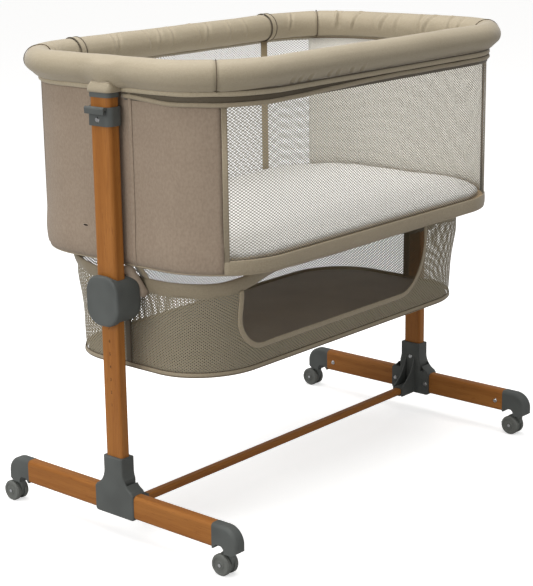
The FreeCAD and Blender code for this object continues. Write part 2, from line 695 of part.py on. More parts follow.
def lock_button():
    """Pebble-shaped press cap whose skirt slides over the housing."""
    grow = BUTTON_WALL
    cap = hub_prism(HUB_HALF + grow, HUB_ROUND + grow, -BUTTON_FACE, -BUTTON_SKIRT, grow)
    face_x = -POST_X - BUTTON_FACE
    cap = round_edges(cap, 4.5, lambda e: e.BoundBox.XMax < face_x + 1e-6)
    hollow = hub_prism(
        HUB_HALF + SLIDE, HUB_ROUND + SLIDE, -BUTTON_FACE + BUTTON_PLATE, -BUTTON_SKIRT + 1, SLIDE
    )
    dish_centre = V(face_x + BUTTON_DISH - DISH_RADIUS, 0, (HUB_TOP + HUB_BOTTOM) / 2)
    # the skirt is notched above and below, where it slides towards the posts
    room = 2 * (PRESS + SLIDE)
    notches = [
        post_section(UPPER_WIDTH + 4 * SLIDE, UPPER_DEPTH + room, UPPER_ROUND, HUB_TOP - 20, HUB_TOP + 10),
        post_section(LOWER_WIDTH + 4 * SLIDE, LOWER_DEPTH + room, LOWER_ROUND, HUB_BOTTOM - 10, HUB_BOTTOM + 20),
    ]
    return cap.cut([hollow, Part.makeSphere(DISH_RADIUS, dish_centre)] + notches)


def lock_yoke():
    """Fork from the button round the post, with the lock pin on its bridge."""
    inner_face = -POST_X - BUTTON_FACE + BUTTON_PLATE
    pieces = []
    for side in (-1, 1):
        y0 = side * YOKE_Y
        pieces.append(
            box(
                inner_face + TOUCH, BRIDGE_X, y0 - YOKE_ARM / 2, y0 + YOKE_ARM / 2,
                PIN_Z - YOKE_HEIGHT / 2, PIN_Z + YOKE_HEIGHT / 2,
            )
        )
    reach = YOKE_Y + YOKE_ARM / 2
    bridge = box(
        BRIDGE_X - YOKE_BRIDGE, BRIDGE_X, -reach, reach, PIN_Z - YOKE_HEIGHT / 2, PIN_Z + YOKE_HEIGHT / 2
    )
    tip = V(-POST_X + LOWER_DEPTH / 2 - LOWER_WALL - 1.5, 0, PIN_Z)
    pin = rod(PIN_RADIUS, tip, V(BRIDGE_X - YOKE_BRIDGE / 2, 0, PIN_Z))
    return pieces[0].fuse([pieces[1], bridge, pin])


def lock_spring():
    """Coil between the yoke's bridge and the back of the housing, one unbroken wire."""
    length = SPRING_ROOM - SPRING_WIRE - 2 * SEAT
    start = BRIDGE_X + SEAT + SPRING_WIRE / 2
    pitch = length / SPRING_TURNS
    radius = SPRING_RADIUS - SPRING_WIRE / 2
    points, tangents = [], []
    for half_turn in range(2 * SPRING_TURNS + 1):
        side = 1 if half_turn % 2 else -1
        points.append(V(start + half_turn * pitch / 2, 0, PIN_Z + side * radius))
        tangents.append(V(pitch, side * 2 * math.pi * radius, 0).normalize())
    path = smooth_path(points, tangents)
    section = Part.Wire([Part.makeCircle(SPRING_WIRE / 2, points[0], tangents[0])])
    print(f"lock spring: least gap between turns {least_gap(path, pitch):.2f} mm")
    return path.makePipeShell([section], True, False)


def least_gap(path, pitch):
    """Least distance between turns of the spring's wire, measured on points along it."""
    points = path.discretize(40 * SPRING_TURNS)
    gaps = []
    for i, here in enumerate(points):
        for there in points[i + 1:]:
            if abs(there.x - here.x) > pitch / 2:
                gaps.append((there - here).Length - SPRING_WIRE)
    return min(gaps)


def top_cap():
    """Cap of the upper post, with a saddle that carries the rail tube inside its pad."""
    skirt = post_section(
        UPPER_WIDTH + 2 * TOP_CAP_WALL, UPPER_DEPTH + 2 * TOP_CAP_WALL, UPPER_ROUND + TOP_CAP_WALL,
        UPPER_TOP - TOP_CAP_DROP, UPPER_TOP + TOP_CAP_PLATE,
    )
    tube = post_section(
        UPPER_WIDTH + 2 * TOUCH, UPPER_DEPTH + 2 * TOUCH, UPPER_ROUND, UPPER_TOP - TOP_CAP_DROP - 1, UPPER_TOP
    )
    saddle = prism(saddle_outline(0.0, -SADDLE_HALF), V(0, 2 * SADDLE_HALF, 0))
    seat = rod(RAIL_TUBE + TOUCH, V(-RAIL_HALF_X, -SADDLE_HALF - 1, RAIL_Z), V(-RAIL_HALF_X, SADDLE_HALF + 1, RAIL_Z))
    return skirt.fuse(saddle).cut([tube, seat])


def saddle_outline(grow, y):
    """Side view of the saddle, from the cap's top up round the rail tube."""
    base = UPPER_TOP + 2
    x = -RAIL_HALF_X
    return outline(
        upright(y),
        (x - 18 - grow, base),
        (x + 2.5 + grow, base),
        (x + RAIL_TUBE + 1 + grow, RAIL_Z - 14),
        (x + RAIL_TUBE + 1 + grow, RAIL_Z - 2 + grow),
        (x - RAIL_TUBE - 1 - grow, RAIL_Z - 2 + grow),
        (x - 14 - grow, RAIL_Z - 18 + grow),
    )


def strap_clip():
    """Collar round the upper post with a downturned hook for a hanging strap."""
    wall = CLIP_WALL
    collar = post_section(
        UPPER_WIDTH + 2 * wall, UPPER_DEPTH + 2 * wall, UPPER_ROUND + wall, CLIP_Z, CLIP_Z + CLIP_HEIGHT
    )
    face = -POST_X - UPPER_DEPTH / 2 - wall
    top = CLIP_Z + CLIP_HEIGHT
    half = UPPER_WIDTH / 2 - 1
    hook = prism(
        outline(
            upright(-half),
            (face + 2, top),
            (face - 5.5, top + 1.5),
            ((face - 8, top - 0.5), (face - 8.5, top - 4)),
            (face - 8, top - 11),
            (face - 5.4, top - 11),
            (face - 5.4, top - 6),
            ((face - 4.6, top - 4), (face - 2, top - 3.6)),
            (face + 2, top - 3.6),
        ),
        V(0, 2 * half, 0),
    )
    tube = post_section(
        UPPER_WIDTH + 2 * TOUCH, UPPER_DEPTH + 2 * TOUCH, UPPER_ROUND, CLIP_Z - 1, top + 3
    )
    return collar.fuse(hook).cut([tube] + screw_holes(crib_screws()))


# ---- crib

def from_posts(shapes):
    """Shapes on the posts' plane, seen from the cot's own middle."""
    return [shape.translated(V(0, -CRIB_BACK, 0)) for shape in shapes]


def ring(half_x, half_y, corner, z, radius):
    """Closed tube along a level rectangle with round corners."""
    straight_x, straight_y = half_x - corner, half_y - corner
    pieces = []
    for side in (-1, 1):
        pieces.append(rod(radius, V(-straight_x, side * half_y, z), V(straight_x, side * half_y, z)))
        pieces.append(rod(radius, V(side * half_x, -straight_y, z), V(side * half_x, straight_y, z)))
    for turn, sign_x, sign_y in ((0, 1, 1), (90, -1, 1), (180, -1, -1), (270, 1, -1)):
        bend = Part.makeTorus(corner, radius, V(0, 0, 0), V(0, 0, 1), -180, 180, 90)
        bend.rotate(V(0, 0, 0), V(0, 0, 1), turn)
        pieces.append(bend.translated(V(sign_x * straight_x, sign_y * straight_y, z)))
    return pieces[0].fuse(pieces[1:]).removeSplitter()


def rail_pad():
    """Padded sleeve round the rail tube, open underneath where the posts enter."""
    pad = ring(RAIL_HALF_X, RAIL_HALF_Y, RAIL_CORNER, RAIL_Z, PAD_RADIUS)
    bore = ring(RAIL_HALF_X, RAIL_HALF_Y, RAIL_CORNER, RAIL_Z, RAIL_TUBE + SEAT)
    half = SADDLE_HALF + SEAT
    left = prism(saddle_outline(SEAT, -half), V(0, 2 * half, 0))
    cap = post_section(
        UPPER_WIDTH + 2 * TOP_CAP_WALL + 2 * SEAT, UPPER_DEPTH + 2 * TOP_CAP_WALL + 2 * SEAT,
        UPPER_ROUND + TOP_CAP_WALL, UPPER_TOP - 1, UPPER_TOP + TOP_CAP_PLATE + SEAT,
    )
    return pad.cut([bore] + from_posts([left, mirrored(left), cap, mirrored(cap)]))


def wall_ring(outset, cloth, low, high):
    """Upright fabric ring; outset is the distance inside the wall's outer face."""
    outer = rounded(level(low), WALL_HALF_X - outset, WALL_HALF_Y - outset, WALL_CORNER - outset)
    step = outset + cloth
    inner = rounded(level(low), WALL_HALF_X - step, WALL_HALF_Y - step, WALL_CORNER - step)
    return prism(outer, V(0, 0, high - low)).cut(prism(inner, V(0, 0, high - low)))


def sector(facing, inset=0.0):
    """Region of the front, rear or left wall, cut at the middle of each round corner."""
    a = WALL_HALF_X - WALL_CORNER
    b = WALL_HALF_Y - WALL_CORNER
    reach = 400.0
    shift = inset * math.sqrt(2)
    if facing == "left":
        corners = [(-a, -b), (-a - reach, -b - reach), (-a - reach, b + reach), (-a, b)]
    else:
        side = -1 if facing == "front" else 1
        corners = [
            (-a + shift, side * b), (-a + shift - reach, side * (b + reach)),
            (a - shift + reach, side * (b + reach)), (a - shift, side * b),
        ]
    return prism(outline(level(HEM_Z - 10), *corners), V(0, 0, WALL_TOP - HEM_Z + 20))


def end_panel():
    """Fabric wall of the left end, wrapped to the middle of both corners."""
    panel = wall_ring(0, WALL_CLOTH, HEM_Z, WALL_TOP).common(sector("left"))
    return panel.cut(from_posts(bolt_rods(SEAT)))


def side_mesh(facing):
    """Mesh wall of one long side."""
    return wall_ring(MESH_CLOTH, MESH_CLOTH, HEM_Z, WALL_TOP).common(sector(facing))


def side_binding(facing):
    """Fabric frame over the mesh: deep hem, top strip and two side bindings."""
    frame = wall_ring(0, WALL_CLOTH - MESH_CLOTH - TOUCH, HEM_Z, WALL_TOP)
    window = wall_ring(-1, WALL_CLOTH + 2, HEM_Z + HEM_BAND, WALL_TOP - SIDE_BAND)
    return frame.common(sector(facing)).cut(window.common(sector(facing, SIDE_BAND)))


def mattress_board():
    gap = WALL_CLOTH + SEAT + 1
    wire = rounded(level(BOARD_Z), WALL_HALF_X - gap, WALL_HALF_Y - gap, WALL_CORNER - gap)
    return prism(wire, V(0, 0, BOARD_THICK))


def mattress():
    """Crowned pad with drawn-in sides."""
    steps = (
        (MATTRESS_EDGE + 4, 0.0),
        (MATTRESS_EDGE, 0.3),
        (MATTRESS_EDGE, 0.6),
        (MATTRESS_EDGE + 5, 0.9),
        (MATTRESS_EDGE + 16, 1.0),
    )
    wires = [
        rounded(
            level(MATTRESS_Z + share * MATTRESS_THICK),
            WALL_HALF_X - WALL_CLOTH - inset, WALL_HALF_Y - WALL_CLOTH - inset, WALL_CORNER - inset,
        )
        for inset, share in steps
    ]
    inset = MATTRESS_EDGE + 90
    wires.append(
        rounded(
            level(MATTRESS_Z + MATTRESS_THICK + MATTRESS_CROWN),
            WALL_HALF_X - inset, WALL_HALF_Y - inset, WALL_CORNER - MATTRESS_EDGE - 60,
        )
    )
    return Part.makeLoft(wires, True, True)


# ---- storage basket

def basket_taper(inset, low, high):
    """Solid that fills the basket's tapered outline, less an inset, between two heights."""
    wires = []
    for z in (low, high):
        share = (z - BASKET_FLOOR_Z) / (BASKET_RIM_Z - BASKET_FLOOR_Z)
        half_y = BASKET_LOW_Y + share * (BASKET_TOP_Y - BASKET_LOW_Y)
        wires.append(rounded(level(z), BASKET_HALF_X - inset, half_y - inset, BASKET_CORNER - inset))
    return Part.makeLoft(wires, True, True)


def mouth(grow=0.0):
    """Block that cuts the basket's front opening."""
    corner = MOUTH_CORNER + grow
    left, right, sill = MOUTH_LEFT - grow, MOUTH_RIGHT + grow, MOUTH_SILL - grow
    top = BASKET_RIM_Z + 1
    wire = outline(
        upright(-BASKET_TOP_Y - 30),
        (left, top),
        (left, sill + corner),
        (on_arc((left + corner, sill + corner), corner, 225), (left + corner, sill)),
        (right - corner, sill),
        (on_arc((right - corner, sill + corner), corner, 315), (right, sill + corner)),
        (right, top),
    )
    return prism(wire, V(0, BASKET_TOP_Y, 0))


def basket_wall():
    """Mesh wall with the front mouth."""
    shell = basket_taper(0, BASKET_FLOOR_Z, BASKET_RIM_Z).cut(
        basket_taper(BASKET_CLOTH, BASKET_FLOOR_Z, BASKET_RIM_Z)
    )
    return shell.cut(mouth())


def basket_trim():
    """Bound edge inside the mouth."""
    band = basket_taper(-0.6, MOUTH_SILL - 1, BASKET_RIM_Z).cut(
        basket_taper(BASKET_CLOTH + 0.6, MOUTH_SILL - 1, BASKET_RIM_Z)
    )
    return band.common(mouth(-TOUCH)).cut(mouth(-TRIM_WIDTH))


def basket_rim():
    """Padded fabric rim."""
    wires = []
    for inset, share in ((1.5, 0), (0, 0.15), (0, 0.85), (1.5, 1.0)):
        z = BASKET_RIM_Z + share * RIM_HEIGHT
        wires.append(rounded(level(z), BASKET_HALF_X - inset, BASKET_TOP_Y - inset, BASKET_CORNER - inset))
    outer = Part.makeLoft(wires, True, True)
    step = RIM_THICK
    inner = rounded(
        level(BASKET_RIM_Z - 1), BASKET_HALF_X - step, BASKET_TOP_Y - step, BASKET_CORNER - step
    )
    return outer.cut(prism(inner, V(0, 0, RIM_HEIGHT + 2)))


def basket_floor():
    return basket_taper(BASKET_CLOTH + TOUCH, BASKET_FLOOR_Z, BASKET_FLOOR_Z + FLOOR_BOARD)


def strap(rim_at, frame_at, along, width):
    """Flat strap from the basket's rim up to the floor frame."""
    run = frame_at - rim_at
    start = along * (-width / 2)
    # level ends, so the slanted strap is thicker along its end faces
    thick = V(along.y, along.x, 0) * (STRAP_CLOTH / 2 * run.Length / run.z)
    corners = [rim_at - thick, rim_at + thick, frame_at + thick, frame_at - thick, rim_at - thick]
    return Part.Face(Part.makePolygon([corner + start for corner in corners])).extrude(along * width)


def basket_straps():
    """Eight straps that hang the basket from the crib's floor frame."""
    low = BASKET_TOP + TOUCH
    high = FRAME_Z - FRAME_TUBE - TOUCH
    straps = []
    for x in (-STRAP_X, STRAP_X):
        for side in (-1, 1):
            rim_at = V(x, side * (BASKET_TOP_Y - RIM_THICK / 2), low)
            frame_at = V(x, side * FRAME_HALF_Y, high)
            straps.append(strap(rim_at, frame_at, V(1, 0, 0), STRAP_WIDTH))
    for y in (-STRAP_Y, STRAP_Y):
        for side in (-1, 1):
            rim_at = V(side * (BASKET_HALF_X - RIM_THICK / 2), y, low)
            frame_at = V(side * FRAME_HALF_X, y, high)
            straps.append(strap(rim_at, frame_at, V(0, 1, 0), STRAP_WIDTH))
    return straps


# ---- all nodes

def stand_nodes():
    """Name and solids of the stand's nodes and of the sliding posts'."""
    pairs = {
        "foot_beam": foot_beam,
        "base_bracket": base_bracket,
        "lower_post": lower_post,
        "upper_post": upper_post,
        "post_glide": post_glide,
        "hub_housing": hub_housing,
        "lock_button": lock_button,
        "lock_yoke": lock_yoke,
        "lock_spring": lock_spring,
        "top_cap": top_cap,
        "strap_clip": strap_clip,
    }
    for name, make in pairs.items():
        left = make()
        yield f"{name}_left", [left]
        yield f"{name}_right", [mirrored(left)]
    cap = end_cap()
    rear = cap.mirror(V(0, 0, 0), V(0, 1, 0))
    for end, shape in (("front", cap), ("rear", rear)):
        yield f"end_cap_{end}_left", [shape]
        yield f"end_cap_{end}_right", [mirrored(shape)]
    frame, lever = caster_frame(), brake_lever()
    for place, at in caster_places():
        yield f"caster_frame_{place}", [frame.translated(at)]
        yield f"brake_lever_{place}", [lever.translated(at)]
        for name, side in (("outer", -1), ("inner", 1)):
            turn = side if "left" in place else -side
            yield f"wheel_{name}_{place}", [wheel(turn).translated(at)]
    yield "cross_bar", [cross_bar()]
    yield "base_screws", screw_set(foot_screws() + bracket_screws())
    bolts = bolt_rods()
    yield "crib_screws", screw_set(crib_screws()) + bolts + [mirrored(bolt) for bolt in bolts]


def cot_nodes():
    """Name and solids of the cot's and basket's nodes, about the cot's own middle."""
    yield "rail_tube", [ring(RAIL_HALF_X, RAIL_HALF_Y, RAIL_CORNER, RAIL_Z, RAIL_TUBE)]
    yield "rail_pad", [rail_pad()]
    floor = ring(FRAME_HALF_X, FRAME_HALF_Y, FRAME_CORNER, FRAME_Z, FRAME_TUBE)
    holes = from_posts(bolt_rods(TOUCH))
    yield "floor_frame", [floor.cut(holes + [mirrored(hole) for hole in holes])]
    panel = end_panel()
    yield "end_panel_left", [panel]
    yield "end_panel_right", [mirrored(panel)]
    for facing in ("front", "rear"):
        yield f"{facing}_mesh", [side_mesh(facing)]
    yield "mesh_bindings", [side_binding("front"), side_binding("rear")]
    yield "mattress_board", [mattress_board()]
    yield "mattress", [mattress()]
    yield "basket_wall", [basket_wall()]
    yield "basket_rim", [basket_rim()]
    yield "basket_trim", [basket_trim()]
    yield "basket_floor", [basket_floor()]
    yield "basket_straps", basket_straps()


def nodes():
    """Each node's name and solids."""
    yield from stand_nodes()
    for name, solids in cot_nodes():
        yield name, [solid.translated(V(0, CRIB_BACK, 0)) for solid in solids]


def main():
    os.makedirs("parts", exist_ok=True)
    for name, solids in nodes():
        shape = solids[0] if len(solids) == 1 else Part.makeCompound(solids)
        moved = shape.translated(V(0, -ORIGIN_Y, 0))
        found = len(moved.Solids)
        if not moved.isValid() or found != len(solids):
            print(f"CHECK {name}: valid {moved.isValid()}, solids {found} of {len(solids)}")
        moved.exportStep(f"parts/{name}.step")


main()
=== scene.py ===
"""Looks of a bedside sleeper crib: padding, cloth walls, mesh, basket, wood film and plastics."""
import json
import logging
import math
from dataclasses import dataclass, field
from enum import Enum
from typing import Callable, Optional, Sequence

import bmesh
import bpy
from mathutils import Matrix, Vector, noise


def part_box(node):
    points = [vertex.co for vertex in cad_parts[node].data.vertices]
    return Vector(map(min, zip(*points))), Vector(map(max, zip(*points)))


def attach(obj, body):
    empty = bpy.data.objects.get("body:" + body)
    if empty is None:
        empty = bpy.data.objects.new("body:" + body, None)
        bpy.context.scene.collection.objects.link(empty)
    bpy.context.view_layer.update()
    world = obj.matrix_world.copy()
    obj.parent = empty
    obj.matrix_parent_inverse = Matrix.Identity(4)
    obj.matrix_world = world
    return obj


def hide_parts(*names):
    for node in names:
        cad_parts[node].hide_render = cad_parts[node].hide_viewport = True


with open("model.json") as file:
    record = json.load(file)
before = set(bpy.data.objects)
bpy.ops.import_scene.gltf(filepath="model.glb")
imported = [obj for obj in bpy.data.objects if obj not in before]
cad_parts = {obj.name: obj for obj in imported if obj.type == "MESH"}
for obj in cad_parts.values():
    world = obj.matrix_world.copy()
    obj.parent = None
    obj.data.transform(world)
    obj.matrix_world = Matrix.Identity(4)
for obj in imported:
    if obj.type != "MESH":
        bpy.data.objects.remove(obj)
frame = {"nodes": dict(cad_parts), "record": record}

log = logging.getLogger("crib")

Triple = tuple[float, float, float]
Colour = Triple
Row = tuple[list[bmesh.types.BMVert], list[bmesh.types.BMEdge]]
Shape = Callable[[float, float, float], tuple[float, float]]


def srgb(red: int, green: int, blue: int) -> Colour:
    """Linear colour of an 8-bit screen colour."""
    parts = []
    for value in (red, green, blue):
        share = value / 255
        parts.append(share / 12.92 if share <= 0.04045 else ((share + 0.055) / 1.055) ** 2.4)
    return parts[0], parts[1], parts[2]


def hump(x: float, middle: float, width: float) -> float:
    """Bell curve of height 1."""
    return math.exp(-(((x - middle) / width) ** 2))


def ease(x: float, low: float, high: float) -> float:
    """Smooth step from 0 at low to 1 at high."""
    share = min(1.0, max(0.0, (x - low) / (high - low)))
    return share * share * (3 - 2 * share)


def ripple(*place: float) -> float:
    """Smooth noise between about -1 and 1, at a place."""
    return noise.noise(Vector(place))


# ---- shader nodes

class Value:
    """A socket that carries a number, so that shader maths reads as an expression."""

    def __init__(self, finish: "NodeBook", socket: bpy.types.NodeSocket) -> None:
        """Wraps a socket of that finish's tree."""
        self.finish = finish
        self.socket = socket

    def _math(self, operation: str, *others: "Value | float") -> "Value":
        """Adds a Math node on this value and others."""
        inputs = {0: self.socket}
        for place, other in enumerate(others, start=1):
            inputs[place] = other.socket if isinstance(other, Value) else other
        node = self.finish.node("ShaderNodeMath", {"operation": operation}, inputs)
        return Value(self.finish, node.outputs[0])

    def __add__(self, other: "Value | float") -> "Value":
        """Sum."""
        return self._math("ADD", other)

    __radd__ = __add__

    def __sub__(self, other: "Value | float") -> "Value":
        """Difference."""
        return self._math("SUBTRACT", other)

    def __rsub__(self, other: float) -> "Value":
        """Difference from a plain number."""
        return self._math("MULTIPLY", -1.0)._math("ADD", other)

    def __mul__(self, other: "Value | float") -> "Value":
        """Product."""
        return self._math("MULTIPLY", other)

    def sine(self) -> "Value":
        """Sine, of an angle in radians."""
        return self._math("SINE")

    def step(self, low: float, high: float) -> "Value":
        """Smooth step from 0 at low to 1 at high."""
        node = self.finish.node(
            "ShaderNodeMapRange", {"interpolation_type": "SMOOTHSTEP"},
            {"Value": self.socket, "From Min": low, "From Max": high},
        )
        return Value(self.finish, node.outputs[0])


class NodeBook:
    """One material and the nodes in it."""

    def __init__(self, name: str) -> None:
        """Starts a material with an empty Principled shader."""
        self.material = bpy.data.materials.new(name)
        self.material.use_nodes = True
        self.tree = self.material.node_tree
        self.tree.nodes.clear()
        self.shader = self.node("ShaderNodeBsdfPrincipled", {}, {})
        self.node("ShaderNodeOutputMaterial", {}, {"Surface": self.shader.outputs[0]})

    def node(self, kind: str, settings: dict, inputs: dict) -> bpy.types.Node:
        """Adds one node.

        Args:
            kind: The node's type.
            settings: Its properties, set first. "stops" holds a ramp's places and colours.
            inputs: Values or sockets for its inputs, by name or place.

        Returns:
            The node.
        """
        node = self.tree.nodes.new(kind)
        for name, value in settings.items():
            if name == "stops":
                self._fill_ramp(node.color_ramp, value)
            else:
                setattr(node, name, value)
        for name, value in inputs.items():
            if isinstance(value, Value):
                value = value.socket
            if isinstance(value, bpy.types.NodeSocket):
                self.tree.links.new(value, node.inputs[name])
            else:
                node.inputs[name].default_value = value
        return node

    @staticmethod
    def _fill_ramp(ramp: bpy.types.ColorRamp, stops: Sequence[tuple[float, Colour]]) -> None:
        """Sets a ramp's places and colours."""
        while len(ramp.elements) < len(stops):
            ramp.elements.new(0.5)
        for element, (place, colour) in zip(ramp.elements, stops):
            element.position = place
            element.color = (*colour, 1.0)

    def place(self, scale: Triple = (1.0, 1.0, 1.0)) -> bpy.types.NodeSocket:
        """The piece's own coordinates in metres, times a scale along each axis."""
        coordinates = self.node("ShaderNodeTexCoord", {}, {})
        mapping = self.node("ShaderNodeMapping", {}, {"Vector": coordinates.outputs["Object"], "Scale": scale})
        return mapping.outputs[0]

    def along(self) -> tuple[Value, Value]:
        """The two coordinates of the piece's own map, in metres along its cloth."""
        wrap = self.node("ShaderNodeUVMap", {"uv_map": "cloth"}, {})
        parts = self.node("ShaderNodeSeparateXYZ", {}, {0: wrap.outputs[0]})
        return Value(self, parts.outputs[0]), Value(self, parts.outputs[1])

    def clouds(self, scale: float, stretch: Triple = (1.0, 1.0, 1.0), detail: float = 2.0) -> Value:
        """Noise around 0.5, fixed to the piece."""
        node = self.node(
            "ShaderNodeTexNoise", {}, {"Vector": self.place(stretch), "Scale": scale, "Detail": detail}
        )
        return Value(self, node.outputs[0])

    def shade(self, amount: Value, dark: Colour, light: Colour) -> bpy.types.NodeSocket:
        """Colour between two, by an amount from 0 to 1."""
        node = self.node(
            "ShaderNodeMix", {"data_type": "RGBA"}, {"Factor": amount, 6: (*dark, 1.0), 7: (*light, 1.0)}
        )
        return node.outputs[2]

    def tint(self, base: bpy.types.NodeSocket, amount: Value, colour: Colour) -> bpy.types.NodeSocket:
        """A colour drawn towards another where amount is high."""
        node = self.node(
            "ShaderNodeMix", {"data_type": "RGBA"}, {"Factor": amount, 6: base, 7: (*colour, 1.0)}
        )
        return node.outputs[2]

    def relief(self, height: Value, depth: float) -> bpy.types.NodeSocket:
        """Normal of a surface with that height, of a depth in metres."""
        node = self.node("ShaderNodeBump", {}, {"Height": height, "Distance": depth, "Strength": 1.0})
        return node.outputs[0]

    def set(self, **inputs: object) -> bpy.types.Material:
        """Sets the shader's sockets, named with _ for a space, and gives the material."""
        for name, value in inputs.items():
            socket = self.shader.inputs[name.replace("_", " ")]
            if isinstance(value, Value):
                value = value.socket
            if isinstance(value, bpy.types.NodeSocket):
                self.tree.links.new(value, socket)
            else:
                socket.default_value = value
        return self.material


# ---- finishes

class Grain(Enum):
    """Direction that the wood film's grain runs in."""

    ALONG_X = (3.0, 60.0, 60.0)
    ALONG_Y = (60.0, 3.0, 60.0)
    ALONG_Z = (60.0, 60.0, 3.0)


@dataclass(frozen=True)
class WoodFilm:
    """Wood-grain film on a steel tube."""

    grain: Grain
    light: Colour = srgb(168, 108, 46)
    middle: Colour = srgb(154, 95, 35)
    dark: Colour = srgb(124, 70, 24)

    def make(self) -> bpy.types.Material:
        """Long fine grain with darker pores and a satin lacquer."""
        book = NodeBook(f"wood_film_{self.grain.name.lower()}")
        bands = book.clouds(1.0, self.grain.value, 3.0)
        fine = book.clouds(6.0, self.grain.value, 4.0)
        pores = book.clouds(14.0, self.grain.value, 2.0).step(0.60, 0.70)
        mixed = bands * 0.65 + fine * 0.35
        colour = book.shade(mixed.step(0.38, 0.62), self.middle, self.light)
        colour = book.tint(colour, pores * 0.55, self.dark)
        return book.set(
            Base_Color=colour, Roughness=0.46 + fine * 0.14, Coat_Weight=0.04, Coat_Roughness=0.3,
            Specular_IOR_Level=0.3, Normal=book.relief(fine * 0.7 - pores * 0.4, 0.00006),
        )


@dataclass(frozen=True)
class Moulded:
    """Moulded plastic with a spark-eroded grain."""

    name: str
    colour: Colour
    roughness: float = 0.48
    grain: float = 0.00005

    def make(self) -> bpy.types.Material:
        """Even colour, faint clouding, fine grain."""
        book = NodeBook(self.name)
        cloud = book.clouds(18.0, detail=1.0)
        grain = book.clouds(1500.0, detail=2.0)
        dark = tuple(part * 0.90 for part in self.colour)
        light = tuple(part * 1.10 for part in self.colour)
        return book.set(
            Base_Color=book.shade(cloud.step(0.3, 0.7), dark, light), Roughness=self.roughness + grain * 0.12,
            Specular_IOR_Level=0.32, Normal=book.relief(grain, self.grain),
        )


@dataclass(frozen=True)
class Metal:
    """Bare or coated metal."""

    name: str
    colour: Colour
    roughness: float = 0.3
    metallic: float = 1.0

    def make(self) -> bpy.types.Material:
        """Slightly uneven polish."""
        book = NodeBook(self.name)
        wear = book.clouds(220.0, detail=3.0)
        dark = tuple(part * 0.85 for part in self.colour)
        return book.set(
            Base_Color=book.shade(wear.step(0.3, 0.7), dark, self.colour), Metallic=self.metallic,
            Roughness=self.roughness + wear * 0.15, Normal=book.relief(wear, 0.00002),
        )


@dataclass(frozen=True)
class Satin:
    """Tight plain-woven cloth with a soft sheen, on padding, bindings and the rim."""

    name: str = "taupe_satin"
    light: Colour = srgb(170, 158, 136)
    dark: Colour = srgb(158, 146, 123)
    crumple: float = 0.0006

    def make(self) -> bpy.types.Material:
        """Fine weave, faint creasing and cloudy colour."""
        book = NodeBook(self.name)
        cloud = book.clouds(9.0, detail=2.0)
        crumple = book.clouds(38.0, detail=3.0)
        across = (book.clouds(900.0, (1.0, 1.0, 0.2)) + book.clouds(900.0, (0.2, 0.2, 1.0))) * 0.5
        colour = book.shade((cloud * 0.2 + across * 0.8).step(0.30, 0.70), self.dark, self.light)
        height = crumple * self.crumple + across * 0.00012
        return book.set(
            Base_Color=colour, Roughness=0.50 + across * 0.2, Sheen_Weight=0.25, Sheen_Roughness=0.4,
            Specular_IOR_Level=0.35, Normal=book.relief(height, 1.0),
        )


@dataclass(frozen=True)
class Melange:
    """Matt cloth of mixed yarns on the end panels."""

    name: str = "melange_cloth"
    light: Colour = srgb(162, 145, 127)
    dark: Colour = srgb(149, 132, 115)

    def make(self) -> bpy.types.Material:
        """Short light and dark yarns, a plain weave and soft blotches."""
        book = NodeBook(self.name)
        u, v = book.along()
        weave = (u * (2 * math.pi / 0.0016)).sine() * (v * (2 * math.pi / 0.0016)).sine()
        yarn = book.clouds(260.0, (1.0, 1.0, 0.7), 3.0)
        blotch = book.clouds(14.0, detail=3.0)
        mixed = yarn * 0.75 + blotch * 0.25
        colour = book.shade(mixed.step(0.30, 0.70), self.dark, self.light)
        height = weave * 0.00010 + yarn * 0.0002 + book.clouds(30.0, detail=3.0) * 0.0006
        return book.set(
            Base_Color=colour, Roughness=0.86, Sheen_Weight=0.15, Specular_IOR_Level=0.2,
            Normal=book.relief(height, 1.0),
        )


@dataclass(frozen=True)
class Netting:
    """Knitted mesh with staggered holes."""

    name: str
    light: Colour
    dark: Colour
    solid: float         # height of the hole pattern up to which there is yarn
    across: float = 0.0073   # the pattern's repeat along the cloth
    up: float = 0.00515      # and up it

    def make(self) -> bpy.types.Material:
        """Holes on a staggered grid, through which things behind show; the yarn is coloured darker towards each
        hole, partly random yarn tone and partly painted shade where the knit dips.
        """
        book = NodeBook(self.name)
        u, v = book.along()
        wide, high = u * (math.pi / self.across), v * (math.pi / self.up)
        one, two = (wide + high).sine(), (wide - high).sine()
        hole = one * one * two * two
        yarn = book.clouds(700.0, detail=2.0)
        colour = book.shade((hole * 0.5 + yarn * 0.5).step(0.2, 0.6), self.light, self.dark)
        cover = 1.0 - (hole + yarn * 0.06).step(self.solid - 0.03, self.solid + 0.09)
        return book.set(
            Base_Color=colour, Roughness=0.8, Specular_IOR_Level=0.2, Alpha=cover,
            Normal=book.relief(1.0 - hole, 0.0004),
        )


@dataclass(frozen=True)
class Knit:
    """Pale spacer knit on the mattress and the linings."""

    name: str = "mattress_knit"
    light: Colour = srgb(240, 238, 234)
    dark: Colour = srgb(222, 219, 214)

    def make(self) -> bpy.types.Material:
        """Small dimples in staggered rows, coloured darker in their hollows as painted shade."""
        book = NodeBook(self.name)
        u, v = book.along()
        turn = math.pi / 0.005
        one, two = ((u + v) * turn).sine(), ((u - v) * turn).sine()
        dimple = one * one * two * two
        colour = book.shade(dimple, self.light, self.dark)
        return book.set(
            Base_Color=colour, Roughness=0.9, Sheen_Weight=0.2, Specular_IOR_Level=0.2,
            Normal=book.relief(1.0 - dimple, 0.0009),
        )


